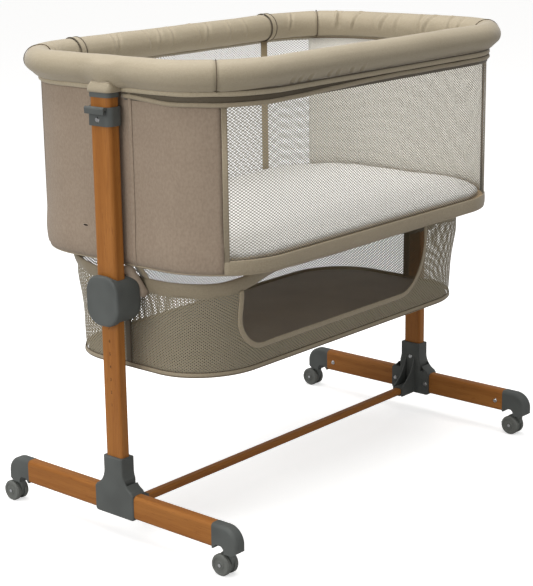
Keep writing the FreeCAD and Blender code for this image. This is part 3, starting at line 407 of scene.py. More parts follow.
@dataclass(frozen=True)
class Felt:
    """Matt non-woven cover on the basket's floor board."""

    name: str = "floor_cloth"
    # paler than the felt's own colour: partly painted light that lifts the shade inside the basket
    colour: Colour = srgb(188, 182, 172)

    def make(self) -> bpy.types.Material:
        """Fuzzy, with faint blotches."""
        book = NodeBook(self.name)
        fuzz = book.clouds(500.0, detail=4.0)
        blotch = book.clouds(10.0, detail=2.0)
        dark = tuple(part * 0.82 for part in self.colour)
        colour = book.shade((fuzz * 0.5 + blotch * 0.5).step(0.3, 0.7), dark, self.colour)
        return book.set(
            Base_Color=colour, Roughness=0.52, Sheen_Weight=0.1, Normal=book.relief(fuzz, 0.0003)
        )


@dataclass(frozen=True)
class Plywood:
    """Plain board under the mattress."""

    name: str = "plain_board"

    def make(self) -> bpy.types.Material:
        """Pale veneer with long grain."""
        book = NodeBook(self.name)
        grain = book.clouds(5.0, (2.0, 30.0, 30.0), 4.0)
        colour = book.shade(grain.step(0.35, 0.65), srgb(170, 140, 100), srgb(200, 172, 130))
        return book.set(Base_Color=colour, Roughness=0.6, Normal=book.relief(grain, 0.0001))


class Wardrobe:
    """All finishes of the crib, made once."""

    def __init__(self) -> None:
        """Makes every material."""
        self.wood_x = WoodFilm(Grain.ALONG_X).make()
        self.wood_y = WoodFilm(Grain.ALONG_Y).make()
        self.wood_z = WoodFilm(Grain.ALONG_Z).make()
        self.grey = Moulded("grey_plastic", srgb(86, 89, 87)).make()
        self.caster = Moulded("caster_plastic", srgb(97, 100, 97), 0.42).make()
        self.wheel = Moulded("wheel_plastic", srgb(106, 108, 104), 0.5).make()
        self.zinc = Metal("zinc", srgb(205, 206, 208), 0.25).make()
        self.spring = Metal("spring_wire", srgb(190, 190, 190), 0.3).make()
        self.tube = Metal("coated_tube", srgb(185, 184, 180), 0.4, 0.0).make()
        self.satin = Satin().make()
        # darker copy of the taupe satin: partly painted shade of the rim under the crib
        self.rim = Satin("rim_cloth", srgb(152, 140, 118), srgb(137, 125, 103)).make()
        self.strip = Satin("strip_cloth", srgb(178, 162, 132), srgb(160, 144, 116), 0.0002).make()
        self.tab = Satin("tab_cloth", srgb(176, 159, 141), srgb(160, 143, 126), 0.0002).make()
        # lighter copy of the taupe satin: partly the piping's own tone, partly painted highlight from the light
        # above
        self.piping = Satin("piping_cloth", srgb(184, 172, 148), srgb(163, 150, 126), 0.0002).make()
        self.binding = Satin("binding_cloth", srgb(168, 155, 132), srgb(148, 135, 113), 0.0003).make()
        # painted shade: a very dark copy of the taupe satin, laid in the groove between the welts, at the straps'
        # edges, along the pad's underseam, as the front mesh's top band and beside the posts on the basket
        self.shadow = Satin("painted_shade_tape", srgb(98, 88, 71), srgb(84, 75, 60), 0.0002).make()
        self.melange = Melange().make()
        self.mesh = Netting("wall_mesh", srgb(148, 144, 133), srgb(116, 111, 101), 0.080).make()
        self.rear_mesh = Netting("rear_wall_mesh", srgb(204, 200, 191), srgb(178, 174, 164), 0.12).make()
        self.basket = Netting("basket_mesh", srgb(158, 148, 127), srgb(130, 121, 101), 0.37).make()
        self.knit = Knit().make()
        self.lining = Knit("lining_knit", srgb(240, 237, 229), srgb(222, 218, 208)).make()
        self.felt = Felt().make()
        self.board = Plywood().make()
        self.ink = Moulded("numeral_ink", srgb(70, 45, 25), 0.6).make()
        self.thread = Moulded("sewing_thread", srgb(96, 84, 68), 0.8).make()
        self.dark = Moulded("slit_shadow", srgb(46, 38, 31), 0.9).make()


# ---- paths and meshes

MERGE = 0.00002      # vertices closer than this are one


def weld(bm: bmesh.types.BMesh) -> None:
    """Joins the vertices that lie in one place."""
    bmesh.ops.remove_doubles(bm, verts=bm.verts, dist=MERGE)


def close_holes(bm: bmesh.types.BMesh) -> None:
    """Fills every open edge ring with a face."""
    bmesh.ops.holes_fill(bm, edges=[edge for edge in bm.edges if edge.is_boundary], sides=0)


def parted(made: Sequence[object]) -> Row:
    """The vertices and the edges among what an operation made."""
    verts = [item for item in made if isinstance(item, bmesh.types.BMVert)]
    return verts, [item for item in made if isinstance(item, bmesh.types.BMEdge)]


def push(bm: bmesh.types.BMesh, edges: Sequence[bmesh.types.BMEdge], move: Vector, count: int) -> Row:
    """Extrudes a row of edges by the same move a number of times, and gives the last row."""
    row: list[bmesh.types.BMVert] = []
    for _ in range(count):
        row, edges = parted(bmesh.ops.extrude_edge_only(bm, edges=edges)["geom"])
        bmesh.ops.translate(bm, verts=row, vec=move)
    return row, list(edges)


@dataclass(frozen=True)
class Leg:
    """One straight or one round corner of a loop."""

    length: float
    start: tuple[float, float]
    heading: float
    centre: Optional[tuple[float, float]] = None


@dataclass(frozen=True)
class Loop:
    """Level rectangle with round corners, walked anticlockwise from the middle of its rear side."""

    half_x: float
    half_y: float
    corner: float
    mid_y: float

    def legs(self) -> list[Leg]:
        """The five straights and four corners."""
        a, b, mid = self.half_x - self.corner, self.half_y - self.corner, self.mid_y
        bend = self.corner * math.pi / 2
        return [
            Leg(a, (0, mid + self.half_y), math.pi),
            Leg(bend, (-a, mid + self.half_y), math.pi, (-a, mid + b)),
            Leg(2 * b, (-self.half_x, mid + b), 1.5 * math.pi),
            Leg(bend, (-self.half_x, mid - b), 1.5 * math.pi, (-a, mid - b)),
            Leg(2 * a, (-a, mid - self.half_y), 0.0),
            Leg(bend, (a, mid - self.half_y), 0.0, (a, mid - b)),
            Leg(2 * b, (self.half_x, mid - b), math.pi / 2),
            Leg(bend, (self.half_x, mid + b), math.pi / 2, (a, mid + b)),
            Leg(a, (a, mid + self.half_y), math.pi),
        ]

    @property
    def length(self) -> float:
        """All the way round."""
        return sum(leg.length for leg in self.legs())

    def grown(self, by: float) -> "Loop":
        """The loop that lies outside this one by a distance."""
        return Loop(self.half_x + by, self.half_y + by, self.corner + by, self.mid_y)

    def mark(self, leg: int, share: float) -> float:
        """Distance along the loop to a share of one of its legs."""
        legs = self.legs()
        return sum(part.length for part in legs[:leg]) + share * legs[leg].length

    def at(self, s: float, out: float = 0.0, z: float = 0.0) -> Vector:
        """Point at a distance along the loop, an offset outwards and a height."""
        s %= self.length
        for leg in self.legs():
            if s <= leg.length + 1e-9:
                break
            s -= leg.length
        if leg.centre is None:
            heading, here = leg.heading, Vector(leg.start)
            here = here + s * Vector((math.cos(heading), math.sin(heading)))
        else:
            heading = leg.heading + s / self.corner
            spoke = Vector((math.sin(heading), -math.cos(heading)))
            here = Vector(leg.centre) + self.corner * spoke
        outward = Vector((math.sin(heading), -math.cos(heading)))
        here = here + out * outward
        return Vector((here.x, here.y, z))

    def find(self, x: float, y: float) -> tuple[float, float]:
        """Distance along the loop, and offset outwards, of a point near it."""
        a, b, mid = self.half_x - self.corner, self.half_y - self.corner, self.mid_y
        y -= mid
        bend = self.corner * math.pi / 2
        if abs(x) > a and abs(y) > b:
            dx, dy = x - math.copysign(a, x), y - math.copysign(b, y)
            out = math.hypot(dx, dy) - self.corner
            if x < 0:
                if y > 0:
                    return a + self.corner * math.atan2(-dx, dy), out
                return a + bend + 2 * b + self.corner * math.atan2(-dy, -dx), out
            if y < 0:
                return 3 * a + 2 * bend + 2 * b + self.corner * math.atan2(dx, -dy), out
            return 3 * a + 3 * bend + 4 * b + self.corner * math.atan2(dy, dx), out
        if abs(y) - b > abs(x) - a:
            if y > 0:
                s = -x if x < 0 else self.length - x
                return s, y - self.half_y
            return a + 2 * bend + 2 * b + (x + a), -y - self.half_y
        if x < 0:
            return a + bend + (b - y), -x - self.half_x
        return 3 * a + 3 * bend + 2 * b + (y + b), x - self.half_x


@dataclass(frozen=True)
class Stretch:
    """A length of a loop along which a section is carried."""

    loop: Loop
    start: float
    stop: float
    pace: float = 0.010

    @classmethod
    def whole(cls, loop: Loop, pace: float = 0.010) -> "Stretch":
        """All the way round."""
        return cls(loop, 0.0, loop.length, pace)

    def carry(self, bm: bmesh.types.BMesh, section: Sequence[tuple[float, float]], closed: bool) -> None:
        """Draws a section of (outward, height) points along the stretch.

        Args:
            bm: The mesh that gets the surface.
            section: Points of the section.
            closed: Whether the section is a ring.
        """
        row = [bm.verts.new(self.loop.at(self.start, out, z)) for out, z in section]
        pairs = list(zip(row, row[1:])) + ([(row[-1], row[0])] if closed else [])
        edges = [bm.edges.new(pair) for pair in pairs]
        done = 0.0
        for leg in self.loop.legs() + self.loop.legs():
            low, high = max(self.start, done), min(self.stop, done + leg.length)
            done += leg.length
            if high - low < 1e-6:
                continue
            count = max(1, math.ceil((high - low) / self.pace))
            if leg.centre is None:
                move = Vector((math.cos(leg.heading), math.sin(leg.heading), 0)) * ((high - low) / count)
                row, edges = push(bm, edges, move, count)
            else:
                row, edges = parted(bmesh.ops.spin(
                    bm, geom=row + edges, cent=(*leg.centre, 0), axis=(0, 0, 1), dvec=(0, 0, 0),
                    angle=(high - low) / self.loop.corner, steps=count, use_merge=False, use_duplicate=False,
                )["geom_last"])


def reshape(bm: bmesh.types.BMesh, loop: Loop, rule: Shape) -> None:
    """Moves every vertex to the offset and height that a rule of (along, out, z) gives."""
    for vert in bm.verts:
        s, out = loop.find(vert.co.x, vert.co.y)
        out, z = rule(s, out, vert.co.z)
        vert.co = loop.at(s, out, z)


def map_cloth(bm: bmesh.types.BMesh, loop: Loop, rise: Callable[[float, float], float]) -> None:
    """Gives a mesh its cloth map: metres along the loop, and metres up by a rule of (out, z)."""
    layer = bm.loops.layers.uv.new("cloth")
    for face in bm.faces:
        middle = face.calc_center_median()
        about = loop.find(middle.x, middle.y)[0]
        for corner in face.loops:
            s, out = loop.find(corner.vert.co.x, corner.vert.co.y)
            if s - about > loop.length / 2:
                s -= loop.length
            elif about - s > loop.length / 2:
                s += loop.length
            corner[layer].uv = (s, rise(out, corner.vert.co.z))


def circle(radius: float, count: int, z: float, out: float = 0.0) -> list[tuple[float, float]]:
    """Section points of a round tube."""
    turns = [2 * math.pi * i / count for i in range(count)]
    return [(out + radius * math.cos(turn), z + radius * math.sin(turn)) for turn in turns]


class Piece:
    """A finished mesh object that rides on a body."""

    def __init__(self, name: str, bm: bmesh.types.BMesh, finish: bpy.types.Material, recalc: bool = True) -> None:
        """Turns a bmesh into a welded, smooth object, with its faces outwards if they are worked out again."""
        weld(bm)
        if recalc:
            bmesh.ops.recalc_face_normals(bm, faces=bm.faces)
        for face in bm.faces:
            face.smooth = True
        mesh = bpy.data.meshes.new(name)
        bm.to_mesh(mesh)
        bm.free()
        mesh.materials.append(finish)
        self.object = bpy.data.objects.new(name, mesh)
        bpy.context.scene.collection.objects.link(self.object)

    def thick(self, amount: float, offset: float = 0.0) -> "Piece":
        """Gives a sheet its thickness."""
        solid = self.object.modifiers.new("thickness", "SOLIDIFY")
        solid.thickness = amount
        solid.offset = offset
        return self

    def smooth(self, levels: int = 1) -> "Piece":
        """Adds a subdivision surface."""
        finer = self.object.modifiers.new("smooth", "SUBSURF")
        finer.levels = finer.render_levels = levels
        return self

    def on(self, body: str, slot: str, *stands_for: str) -> bpy.types.Object:
        """Sets the piece on its body and hides the nodes that it stands for."""
        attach(self.object, body)
        if stands_for:
            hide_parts(*stands_for)
        log.info("%s: %d faces", self.object.name, len(self.object.data.polygons))
        return self.object


def puff(piece: Piece, voxel: float, pressure: float, most: float) -> None:
    """Lets cloth pressure swell a closed pad, as stuffing does.

    Args:
        piece: The pad.
        voxel: Size of the mesh that is simulated.
        pressure: Pressure inside the pad.
        most: Farthest that a point may move.
    """
    obj, scene = piece.object, bpy.context.scene
    bpy.context.view_layer.objects.active = obj
    remesh = obj.modifiers.new("remesh", "REMESH")
    remesh.mode, remesh.voxel_size, remesh.use_smooth_shade = "VOXEL", voxel, True
    bpy.ops.object.modifier_apply(modifier=remesh.name)
    rest = [vert.co.copy() for vert in obj.data.vertices]
    cloth = obj.modifiers.new("stuffing", "CLOTH")
    cloth.settings.use_pressure = True
    cloth.settings.uniform_pressure_force = pressure
    cloth.settings.effector_weights.gravity = 0.0
    cloth.settings.quality = 5
    cloth.point_cache.frame_start, cloth.point_cache.frame_end = 1, 20
    for step in range(1, 21):
        scene.frame_set(step)
    bpy.ops.object.modifier_apply(modifier=cloth.name)
    scene.frame_set(1)
    for vert, start in zip(obj.data.vertices, rest):
        move = vert.co - start
        if move.length > most:
            vert.co = start + move * (most / move.length)


def area_of(obj: bpy.types.Object) -> float:
    """Area of a mesh without its modifiers."""
    return sum(face.area for face in obj.data.polygons)


# ---- the crib's places

@dataclass(frozen=True)
class Plan:
    """Places that the frame gives, in metres, and the corner radii that go with them."""

    wall: Loop           # outer face of the cloth walls
    hem_z: float
    wall_top: float
    rail: Loop           # centre line of the padded rail
    rail_z: float
    pad_radius: float
    basket: Loop         # outer face of the basket's rim
    seam_z: float        # lower edge of that rim, at the corners
    rim_z: float         # and its upper edge
    floor_z: float       # underside of the basket
    post_y: float        # middle of both posts
    post_half: float     # half their width

    @classmethod
    def read(cls, wall_corner: float = 0.150, rail_corner: float = 0.138, basket_corner: float = 0.125) -> "Plan":
        """Reads the boxes of the frame's nodes."""
        pad_low, pad_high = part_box("rail_pad")
        panel_low, panel_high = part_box("end_panel_left")
        side_low, side_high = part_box("mesh_bindings")
        rim_low, rim_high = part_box("basket_rim")
        post_low, post_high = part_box("upper_post_left")
        mid_y = (pad_low.y + pad_high.y) / 2
        radius = (pad_high.z - pad_low.z) / 2
        return cls(
            wall=Loop(-panel_low.x, (side_high.y - side_low.y) / 2, wall_corner, mid_y),
            hem_z=panel_low.z,
            wall_top=panel_high.z,
            rail=Loop(pad_high.x - radius, (pad_high.y - pad_low.y) / 2 - radius, rail_corner, mid_y),
            rail_z=(pad_high.z + pad_low.z) / 2,
            pad_radius=radius,
            basket=Loop(rim_high.x, (rim_high.y - rim_low.y) / 2, basket_corner, mid_y),
            seam_z=rim_low.z,
            rim_z=rim_high.z,
            floor_z=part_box("basket_wall")[0].z,
            post_y=(post_low.y + post_high.y) / 2,
            post_half=(post_high.y - post_low.y) / 2,
        )

    def post(self, loop: Loop, side: str) -> float:
        """Distance along a loop to the post of one side."""
        return loop.find(-loop.half_x if side == "left" else loop.half_x, self.post_y)[0]


class Corner(Enum):
    """The loop's round corners, by the number of their leg."""

    REAR_LEFT = 1
    FRONT_LEFT = 3
    FRONT_RIGHT = 5
    REAR_RIGHT = 7


# ---- padded rail

@dataclass(frozen=True)
class Crease:
    """A gather in the rail's cloth: a groove with a ridge beside it."""

    s: float             # where it crosses the side of the pad
    lean: float = 0.0    # how far it runs along the rail in each radian round the pad
    low: float = 1.6     # angles round the pad between which it shows; 0 is outwards, up is positive
    high: float = 3.6
    depth: float = 0.0022
    width: float = 0.0037


@dataclass
class PaddedRail:
    """Padded sleeve round the top frame, with its seams, straps and the welts under it."""

    plan: Plan
    wardrobe: Wardrobe
    slack: float = 0.0022        # how much thinner the pad starts than it ends, stuffed
    voxel: float = 0.0055
    seam_half: float = 0.0008    # half the width of a corner's seam
    uneven: float = 0.0009       # of the whole surface
    post_bulge: float = 0.0042   # over each post, on the outer side
    post_hollow: float = 0.0018  # beside that bulge
    drape: float = 0.0090        # down over each post
    underside_draw: float = 0.0048
    corner_groove: float = 0.0020
    strap_bite: float = 0.0012
    zip_clear: float = 0.003     # from a post to the zip's end
    strap_places: tuple[float, ...] = (0.271, -0.271)
    strap_half: float = 0.0070
    inner_creases: tuple[float, ...] = (
        0.181, 0.165, 0.098, 0.053, 0.020, -0.044, -0.088, -0.140, -0.190, -0.347, -0.454, -0.465, -0.516, -0.558,
        -0.589, -0.619, -0.668, -0.705, -0.742, -0.775, 0.345, 0.372, 0.395,
    )
    front_creases: tuple[float, ...] = (-0.262, -0.244, -0.218, -0.164, -0.139, -0.100, -0.072)
    creases: list[Crease] = field(default_factory=list)

    def plan_creases(self) -> None:
        """Lists the gathers, of uneven depth and lean, on the rear rail's inner side and the front rail."""
        for number, s in enumerate(self.inner_creases):
            lean = 0.004 + 0.008 * math.sin(2.3 * number)
            deep = 0.0023 + 0.0015 * abs(math.sin(1.7 * number))
            self.creases.append(Crease(s % self.plan.rail.length, lean, 1.5 + 0.2 * math.sin(number), 3.7, deep))
        front = self.plan.rail.mark(4, 0.5)
        for number, x in enumerate(self.front_creases):
            self.creases.append(
                Crease(front + x, -0.011 + 0.004 * math.sin(number), -1.5, -0.2, 0.0024, 0.0036)
            )

    def swell(self, s: float, turn: float) -> float:
        """How far the cloth stands out from the pad's round section, at a place and an angle."""
        rail = self.plan.rail
        more = self.uneven * ripple(s * 14, math.cos(turn) * 0.8, math.sin(turn) * 0.8)
        for post in (self.plan.post(rail, "left"), self.plan.post(rail, "right")):
            aside = s - post
            facing = ease(math.cos(turn + 0.35), 0.2, 0.85)
            bulge, hollow = hump(aside, 0.0, 0.021), hump(abs(aside), 0.045, 0.016)
            more += facing * (self.post_bulge * bulge - self.post_hollow * hollow)
            more += self.drape * hump(turn, -1.0, 0.5) * hump(aside, 0.0, 0.030)
        more -= self.underside_draw * hump(turn, -0.85, 0.55)
        for leg in Corner:
            more -= self.corner_groove * hump(s, rail.mark(leg.value, 0.5), 0.0032)
        for place in self.strap_places:
            aside = abs((s - place + rail.length / 2) % rail.length - rail.length / 2)
            more -= self.strap_bite * ease(0.011 - aside, 0.0, 0.004)
        for crease in self.creases:
            aside = s - crease.s - crease.lean * (turn - crease.low)
            if aside > rail.length / 2:
                aside -= rail.length
            if abs(aside) > 0.02:
                continue
            fade = ease(turn, crease.low, crease.low + 0.5) * (1 - ease(turn, crease.high - 0.5, crease.high))
            ridge = hump(aside, crease.width * 1.5, crease.width) * 0.7
            more += fade * crease.depth * (ridge - hump(aside, 0.0, crease.width))
        return more

    def hug(self, verts: Sequence[bpy.types.MeshVertex]) -> None:
        """Moves round work on the rail to the cloth's own shape."""
        rail, middle = self.plan.rail, self.plan.rail_z
        for vert in verts:
            s, out = rail.find(vert.co.x, vert.co.y)
            turn = math.atan2(vert.co.z - middle, out)
            if turn < -math.pi / 2:
                turn += 2 * math.pi
            reach = math.hypot(vert.co.z - middle, out) + self.swell(s, turn)
            vert.co = rail.at(s, reach * math.cos(turn), middle + reach * math.sin(turn))

    def pad(self) -> bpy.types.Object:
        """Swept round pad, stuffed by cloth pressure, then creased."""
        plan = self.plan
        bm = bmesh.new()
        section = circle(plan.pad_radius - self.slack, 36, plan.rail_z)
        Stretch.whole(plan.rail, 0.008).carry(bm, section, True)
        piece = Piece("rail_cushion", bm, self.wardrobe.satin)
        puff(piece, self.voxel, pressure=4.0, most=0.004)
        bpy.context.view_layer.objects.active = piece.object
        finer = piece.object.modifiers.new("finer", "SUBSURF")
        finer.levels = 1
        bpy.ops.object.modifier_apply(modifier=finer.name)
        self.hug(piece.object.data.vertices)
        piece.object.data.update()
        return piece.on("crib", "taupe_fabric", "rail_pad")

    def hoop(self, bm: bmesh.types.BMesh, s: float, radius: float, flat: float, reach: float) -> None:
        """Adds a ring round the pad at one place.

        Args:
            bm: The mesh that gets it.
            s: Place along the rail.
            radius: Half the ring's width along the rail.
            flat: Half its thickness.
            reach: Distance of its middle from the pad's centre line.
        """
        rail, z = self.plan.rail, self.plan.rail_z
        centre = rail.at(s, 0.0, z)
        outward = (rail.at(s, 0.01, z) - centre).normalized()
        tangent = Vector((0, 0, 1)).cross(outward)
        made = bmesh.ops.create_circle(bm, cap_ends=False, segments=10, radius=1.0)["verts"]
        for vert in made:
            vert.co = centre + outward * (reach + vert.co.x * flat) + tangent * (vert.co.y * radius)
        edges = list({edge for vert in made for edge in vert.link_edges})
        bmesh.ops.spin(
            bm, geom=list(made) + edges, cent=centre, axis=tangent, dvec=(0, 0, 0), angle=2 * math.pi,
            steps=40, use_merge=True, use_duplicate=False,
        )

    def seams(self) -> bpy.types.Object:
        """Dark seam at the middle of each corner."""
        bm = bmesh.new()
        for leg in Corner:
            place, reach = self.plan.rail.mark(leg.value, 0.5), self.plan.pad_radius + 0.0004
            self.hoop(bm, place, self.seam_half, self.seam_half, reach)
        self.hug(bm.verts)
        return Piece("rail_corner_seams", bm, self.wardrobe.thread).on("crib", "taupe_fabric")

    def straps(self) -> bpy.types.Object:
        """Two flat straps round the rear rail, each with a dark edge on both sides: partly stitching, partly painted
        shade where the strap meets the pad.
        """
        bm = bmesh.new()
        reach = self.plan.pad_radius - 0.0002
        for place in self.strap_places:
            self.hoop(bm, place, self.strap_half, 0.0009, reach)
        self.hug(bm.verts)
        made = Piece("rail_straps", bm, self.wardrobe.satin).on("crib", "taupe_fabric")
        # the edges take the dark shade tape: painted shade at the strap's edges
        bm = bmesh.new()
        for place in self.strap_places:
            for side in (-1, 1):
                self.hoop(bm, place + side * self.strap_half, 0.0012, 0.0012, reach + 0.0004)
        self.hug(bm.verts)
        Piece("rail_strap_edges", bm, self.wardrobe.shadow).on("crib", "taupe_fabric")
        return made

    def welt(self) -> bpy.types.Object:
        """Flat piping between the pad and the walls, all the way round."""
        bm = bmesh.new()
        ring = [(0.0026 + 0.0028 * x, self.plan.wall_top + 0.0004 + 0.0046 * z) for x, z in circle(1.0, 14, 0.0)]
        Stretch.whole(self.plan.wall, 0.012).carry(bm, ring, True)
        reshape(bm, self.plan.wall, lambda s, out, z: (
            out + 0.0006 * ripple(s * 30, 1.0, 0), z + 0.0007 * ripple(s * 22, 5.0, 0)
        ))
        return Piece("rail_welt", bm, self.wardrobe.piping).on("crib", "taupe_fabric")

    def underseam(self) -> bpy.types.Object:
        """Dark sewn seam where the pad's cover meets the welt; its dark colour is partly painted shade of that join.
        """
        bm = bmesh.new()
        Stretch.whole(self.plan.wall, 0.012).carry(bm, circle(0.0015, 8, self.plan.wall_top + 0.0052, 0.0034), True)
        return Piece("rail_underseam", bm, self.wardrobe.shadow).on("crib", "taupe_fabric")

    def post_covers(self) -> bpy.types.Object:
        """Cloth sleeves that come down from the pad round the caps of the posts."""
        bm = bmesh.new()
        for side in ("left", "right"):
            low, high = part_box(f"top_cap_{side}")
            loop = Loop((high.x - low.x) / 2 + 0.0010, (high.y - low.y) / 2 + 0.0010, 0.009, (low.y + high.y) / 2)
            base = self.plan.wall_top - 0.0032
            rows = [
                (0.0, base), (0.0006, base + 0.0025), (0.0002, base + 0.006), (-0.0012, base + 0.010),
                (-0.0040, base + 0.014), (-0.0075, base + 0.0175),
            ]
            part = bmesh.new()
            Stretch.whole(loop, 0.004).carry(part, rows, False)
            bmesh.ops.translate(part, verts=part.verts, vec=((low.x + high.x) / 2, 0, 0))
            sheet = bpy.data.meshes.new("post_cover")
            part.to_mesh(sheet)
            part.free()
            bm.from_mesh(sheet)
        return Piece("rail_post_covers", bm, self.wardrobe.satin).thick(0.0012).on("crib", "taupe_fabric")

    def zip_ends(self) -> tuple[float, float]:
        """Where the zip starts and stops along the wall, beside the posts."""
        plan = self.plan
        left, right = plan.post(plan.wall, "left"), plan.post(plan.wall, "right")
        return left + plan.post_half + self.zip_clear, right - plan.post_half - self.zip_clear

    def zip_flap(self) -> bpy.types.Object:
        """Second welt, which covers the zip from post to post round the front."""
        wall, top = self.plan.wall, self.plan.wall_top
        start, stop = self.zip_ends()
        bm = bmesh.new()
        ring = [(0.0026 + 0.0027 * x, top - 0.0175 + 0.0038 * z) for x, z in circle(1.0, 12, 0.0)]
        Stretch(wall, start, stop, 0.012).carry(bm, ring, True)
        close_holes(bm)

        def droop(s: float, out: float, z: float) -> tuple[float, float]:
            """Lifts the flap to the first welt at the left post and along the front."""
            lift = 0.0070 * (1 - ease(s - start, 0.0, 0.13)) + 0.0082 * ease(s - start, 0.22, 0.62)
            wave = 0.0008 * ripple(s * 18, 9, 0)
            return out + 0.0007 * ripple(s * 25, 2, 0), z + lift + wave

        reshape(bm, wall, droop)
        return Piece("zip_flap", bm, self.wardrobe.binding).on("crib", "taupe_fabric")

    def painted_shade_tape(self) -> bpy.types.Object:
        """Dark tape in the gap between the two welts: partly the zip's tape, partly painted shade of the groove."""
        wall, top = self.plan.wall, self.plan.wall_top
        bm = bmesh.new()
        section = [(0.0007, top - 0.002), (0.0010, top - 0.006), (0.0010, top - 0.012), (0.0007, top - 0.017)]
        start, stop = self.zip_ends()
        Stretch(wall, start + 0.003, stop - 0.003, 0.012).carry(bm, section, False)
        return Piece("painted_shade_tape", bm, self.wardrobe.shadow).thick(0.0008).on("crib", "taupe_fabric")

    def build(self) -> None:
        """Makes all pieces of the rail."""
        self.plan_creases()
        self.pad()
        self.seams()
        self.straps()
        self.welt()
        self.underseam()
        self.post_covers()
        self.zip_flap()
        self.painted_shade_tape()


# ---- cloth walls

@dataclass
class ClothWalls:
    """End panels of cloth, mesh sides and their bindings."""

    plan: Plan
    wardrobe: Wardrobe
    belly: float = 0.0030        # how far the panels bulge above the hem
    hem_height: float = 0.025
    strip_from_post: float = 0.041   # middle of the strip beside the post
    strip_half: float = 0.0043
    over_seam: float = 0.0145        # how far the lining reaches on to the rear mesh
    lining_clear: float = 0.004      # from the lining's other end to the seam
    rear_strip_places: tuple[float, ...] = (0.288, -0.273)
    rear_strip_half: float = 0.0095
    edge_width: float = 0.0095       # of the bindings up the mesh's ends
    slit_rim: float = 0.0012         # width of the thread round a slit
    slits: tuple[tuple[float, float, float, float], ...] = (
        (0.0660, 0.5580, 0.0062, 0.0016), (0.0690, 0.5318, 0.0034, 0.0018),
    )

    def span(self, part: str) -> tuple[float, float]:
        """Where the cloth of an end or a long side starts and stops, in the middle of two corners."""
        wall = self.plan.wall
        first, last = {
            "left": (Corner.REAR_LEFT, Corner.FRONT_LEFT), "front": (Corner.FRONT_LEFT, Corner.FRONT_RIGHT),
            "right": (Corner.FRONT_RIGHT, Corner.REAR_RIGHT), "rear": (Corner.REAR_RIGHT, Corner.REAR_LEFT),
        }[part]
        start, stop = wall.mark(first.value, 0.5), wall.mark(last.value, 0.5)
        return start, stop if stop > start else wall.length + stop

    def rows(self, low: float, high: float, count: int, out: float = 0.0) -> list[tuple[float, float]]:
        """Section of an upright sheet."""
        return [(out, low + (high - low) * i / count) for i in range(count + 1)]

    def panel_rule(self, post: float) -> Shape:
        """Shape of an end panel, whose post stands at a place along the loop."""
        hem = self.plan.hem_z

        def rule(s: float, out: float, z: float) -> tuple[float, float]:
            """Belly above a drawn-in hem, and soft waves."""
            beside = 1 - hump(s, post, 0.055)
            belly = self.belly * hump(z, hem + 0.032, 0.030) * (0.25 + 0.75 * beside)
            tuck = -0.0045 * (1 - ease(z, hem, hem + 0.012))
            wave = 0.0016 * beside * ripple(s * 9, z * 7, 3)
            return out + belly + tuck + wave, z

        return rule

    def end_panel(self, side: str) -> bpy.types.Object:
        """Cloth wall of one end, wrapped to the middle of both corners."""
        wall, plan = self.plan.wall, self.plan
        start, stop = self.span(side)
        bm = bmesh.new()
        Stretch(wall, start, stop, 0.009).carry(bm, self.rows(plan.hem_z, plan.wall_top, 30, -0.001), False)
        map_cloth(bm, wall, lambda out, z: z)
        reshape(bm, wall, self.panel_rule(plan.post(wall, side)))
        piece = Piece(f"panel_cloth_{side}", bm, self.wardrobe.melange)
        piece.thick(0.0014)
        stop - start
        return piece.on("crib", "panel_fabric", f"end_panel_{side}")

    def lining(self, side: str) -> bpy.types.Object:
        """Pale lining on the inside of one end, which covers the rear seam."""
        wall, plan = self.plan.wall, self.plan
        start, stop = self.span(side)
        start, stop = start + self.lining_clear, stop - self.lining_clear
        if side == "left":
            start -= self.over_seam
        else:
            stop += self.over_seam
        low, high = plan.hem_z + 0.020, plan.wall_top - 0.001
        bm = bmesh.new()
        Stretch(wall, start, stop, 0.012).carry(bm, self.rows(low, high, 14, -0.0045), False)
        map_cloth(bm, wall, lambda out, z: z)
        piece = Piece(f"panel_lining_{side}", bm, self.wardrobe.lining).thick(0.0008)
        stop - start
        return piece.on("crib", "mesh_fabric")

    def buttonholes(self, side: str) -> bpy.types.Object:
        """Two small stitched slits behind the post, each a dark core of painted shadow, and the thread round them.
        """
        wall = self.plan.wall
        x = -wall.half_x if side == "left" else wall.half_x
        cores, edges = bmesh.new(), bmesh.new()
        for y, z, half_long, half_tall in self.slits:
            s = wall.find(x, y)[0]
            for bm, rim in ((cores, 0.0), (edges, self.slit_rim)):
                verts = bmesh.ops.create_circle(bm, cap_ends=True, segments=20, radius=1.0)["verts"]
                faces = list({face for vert in verts for face in vert.link_faces})
                for vert in verts:
                    vert.co.x *= half_long + rim
                    vert.co.y *= half_tall + rim
                if rim:
                    bmesh.ops.inset_region(bm, faces=faces, thickness=rim, depth=0.0, use_boundary=True)
                    bmesh.ops.delete(bm, geom=faces, context="FACES")
                    verts = [vert for vert in bm.verts if vert.co.z == 0.0]
                for vert in verts:
                    vert.co = wall.at(s + vert.co.x, 0.0014, z + vert.co.y)
        Piece(f"panel_slit_stitching_{side}", edges, self.wardrobe.tab).thick(0.0010).on("crib", "panel_fabric")
        return Piece(f"panel_slits_{side}", cores, self.wardrobe.dark).thick(0.0006).on("crib", "panel_fabric")

    def post_strips(self, side: str) -> bpy.types.Object:
        """Upright piped strips on both sides of the post."""
        wall, plan = self.plan.wall, self.plan
        post = plan.post(wall, side)
        bm = bmesh.new()
        for way in (-1, 1):
            middle = post + way * self.strip_from_post
            Stretch(wall, middle - self.strip_half, middle + self.strip_half, 0.0015).carry(
                bm, self.rows(plan.hem_z + 0.001, plan.wall_top - 0.006, 24, 0.0002), False
            )
        rule = self.panel_rule(post)

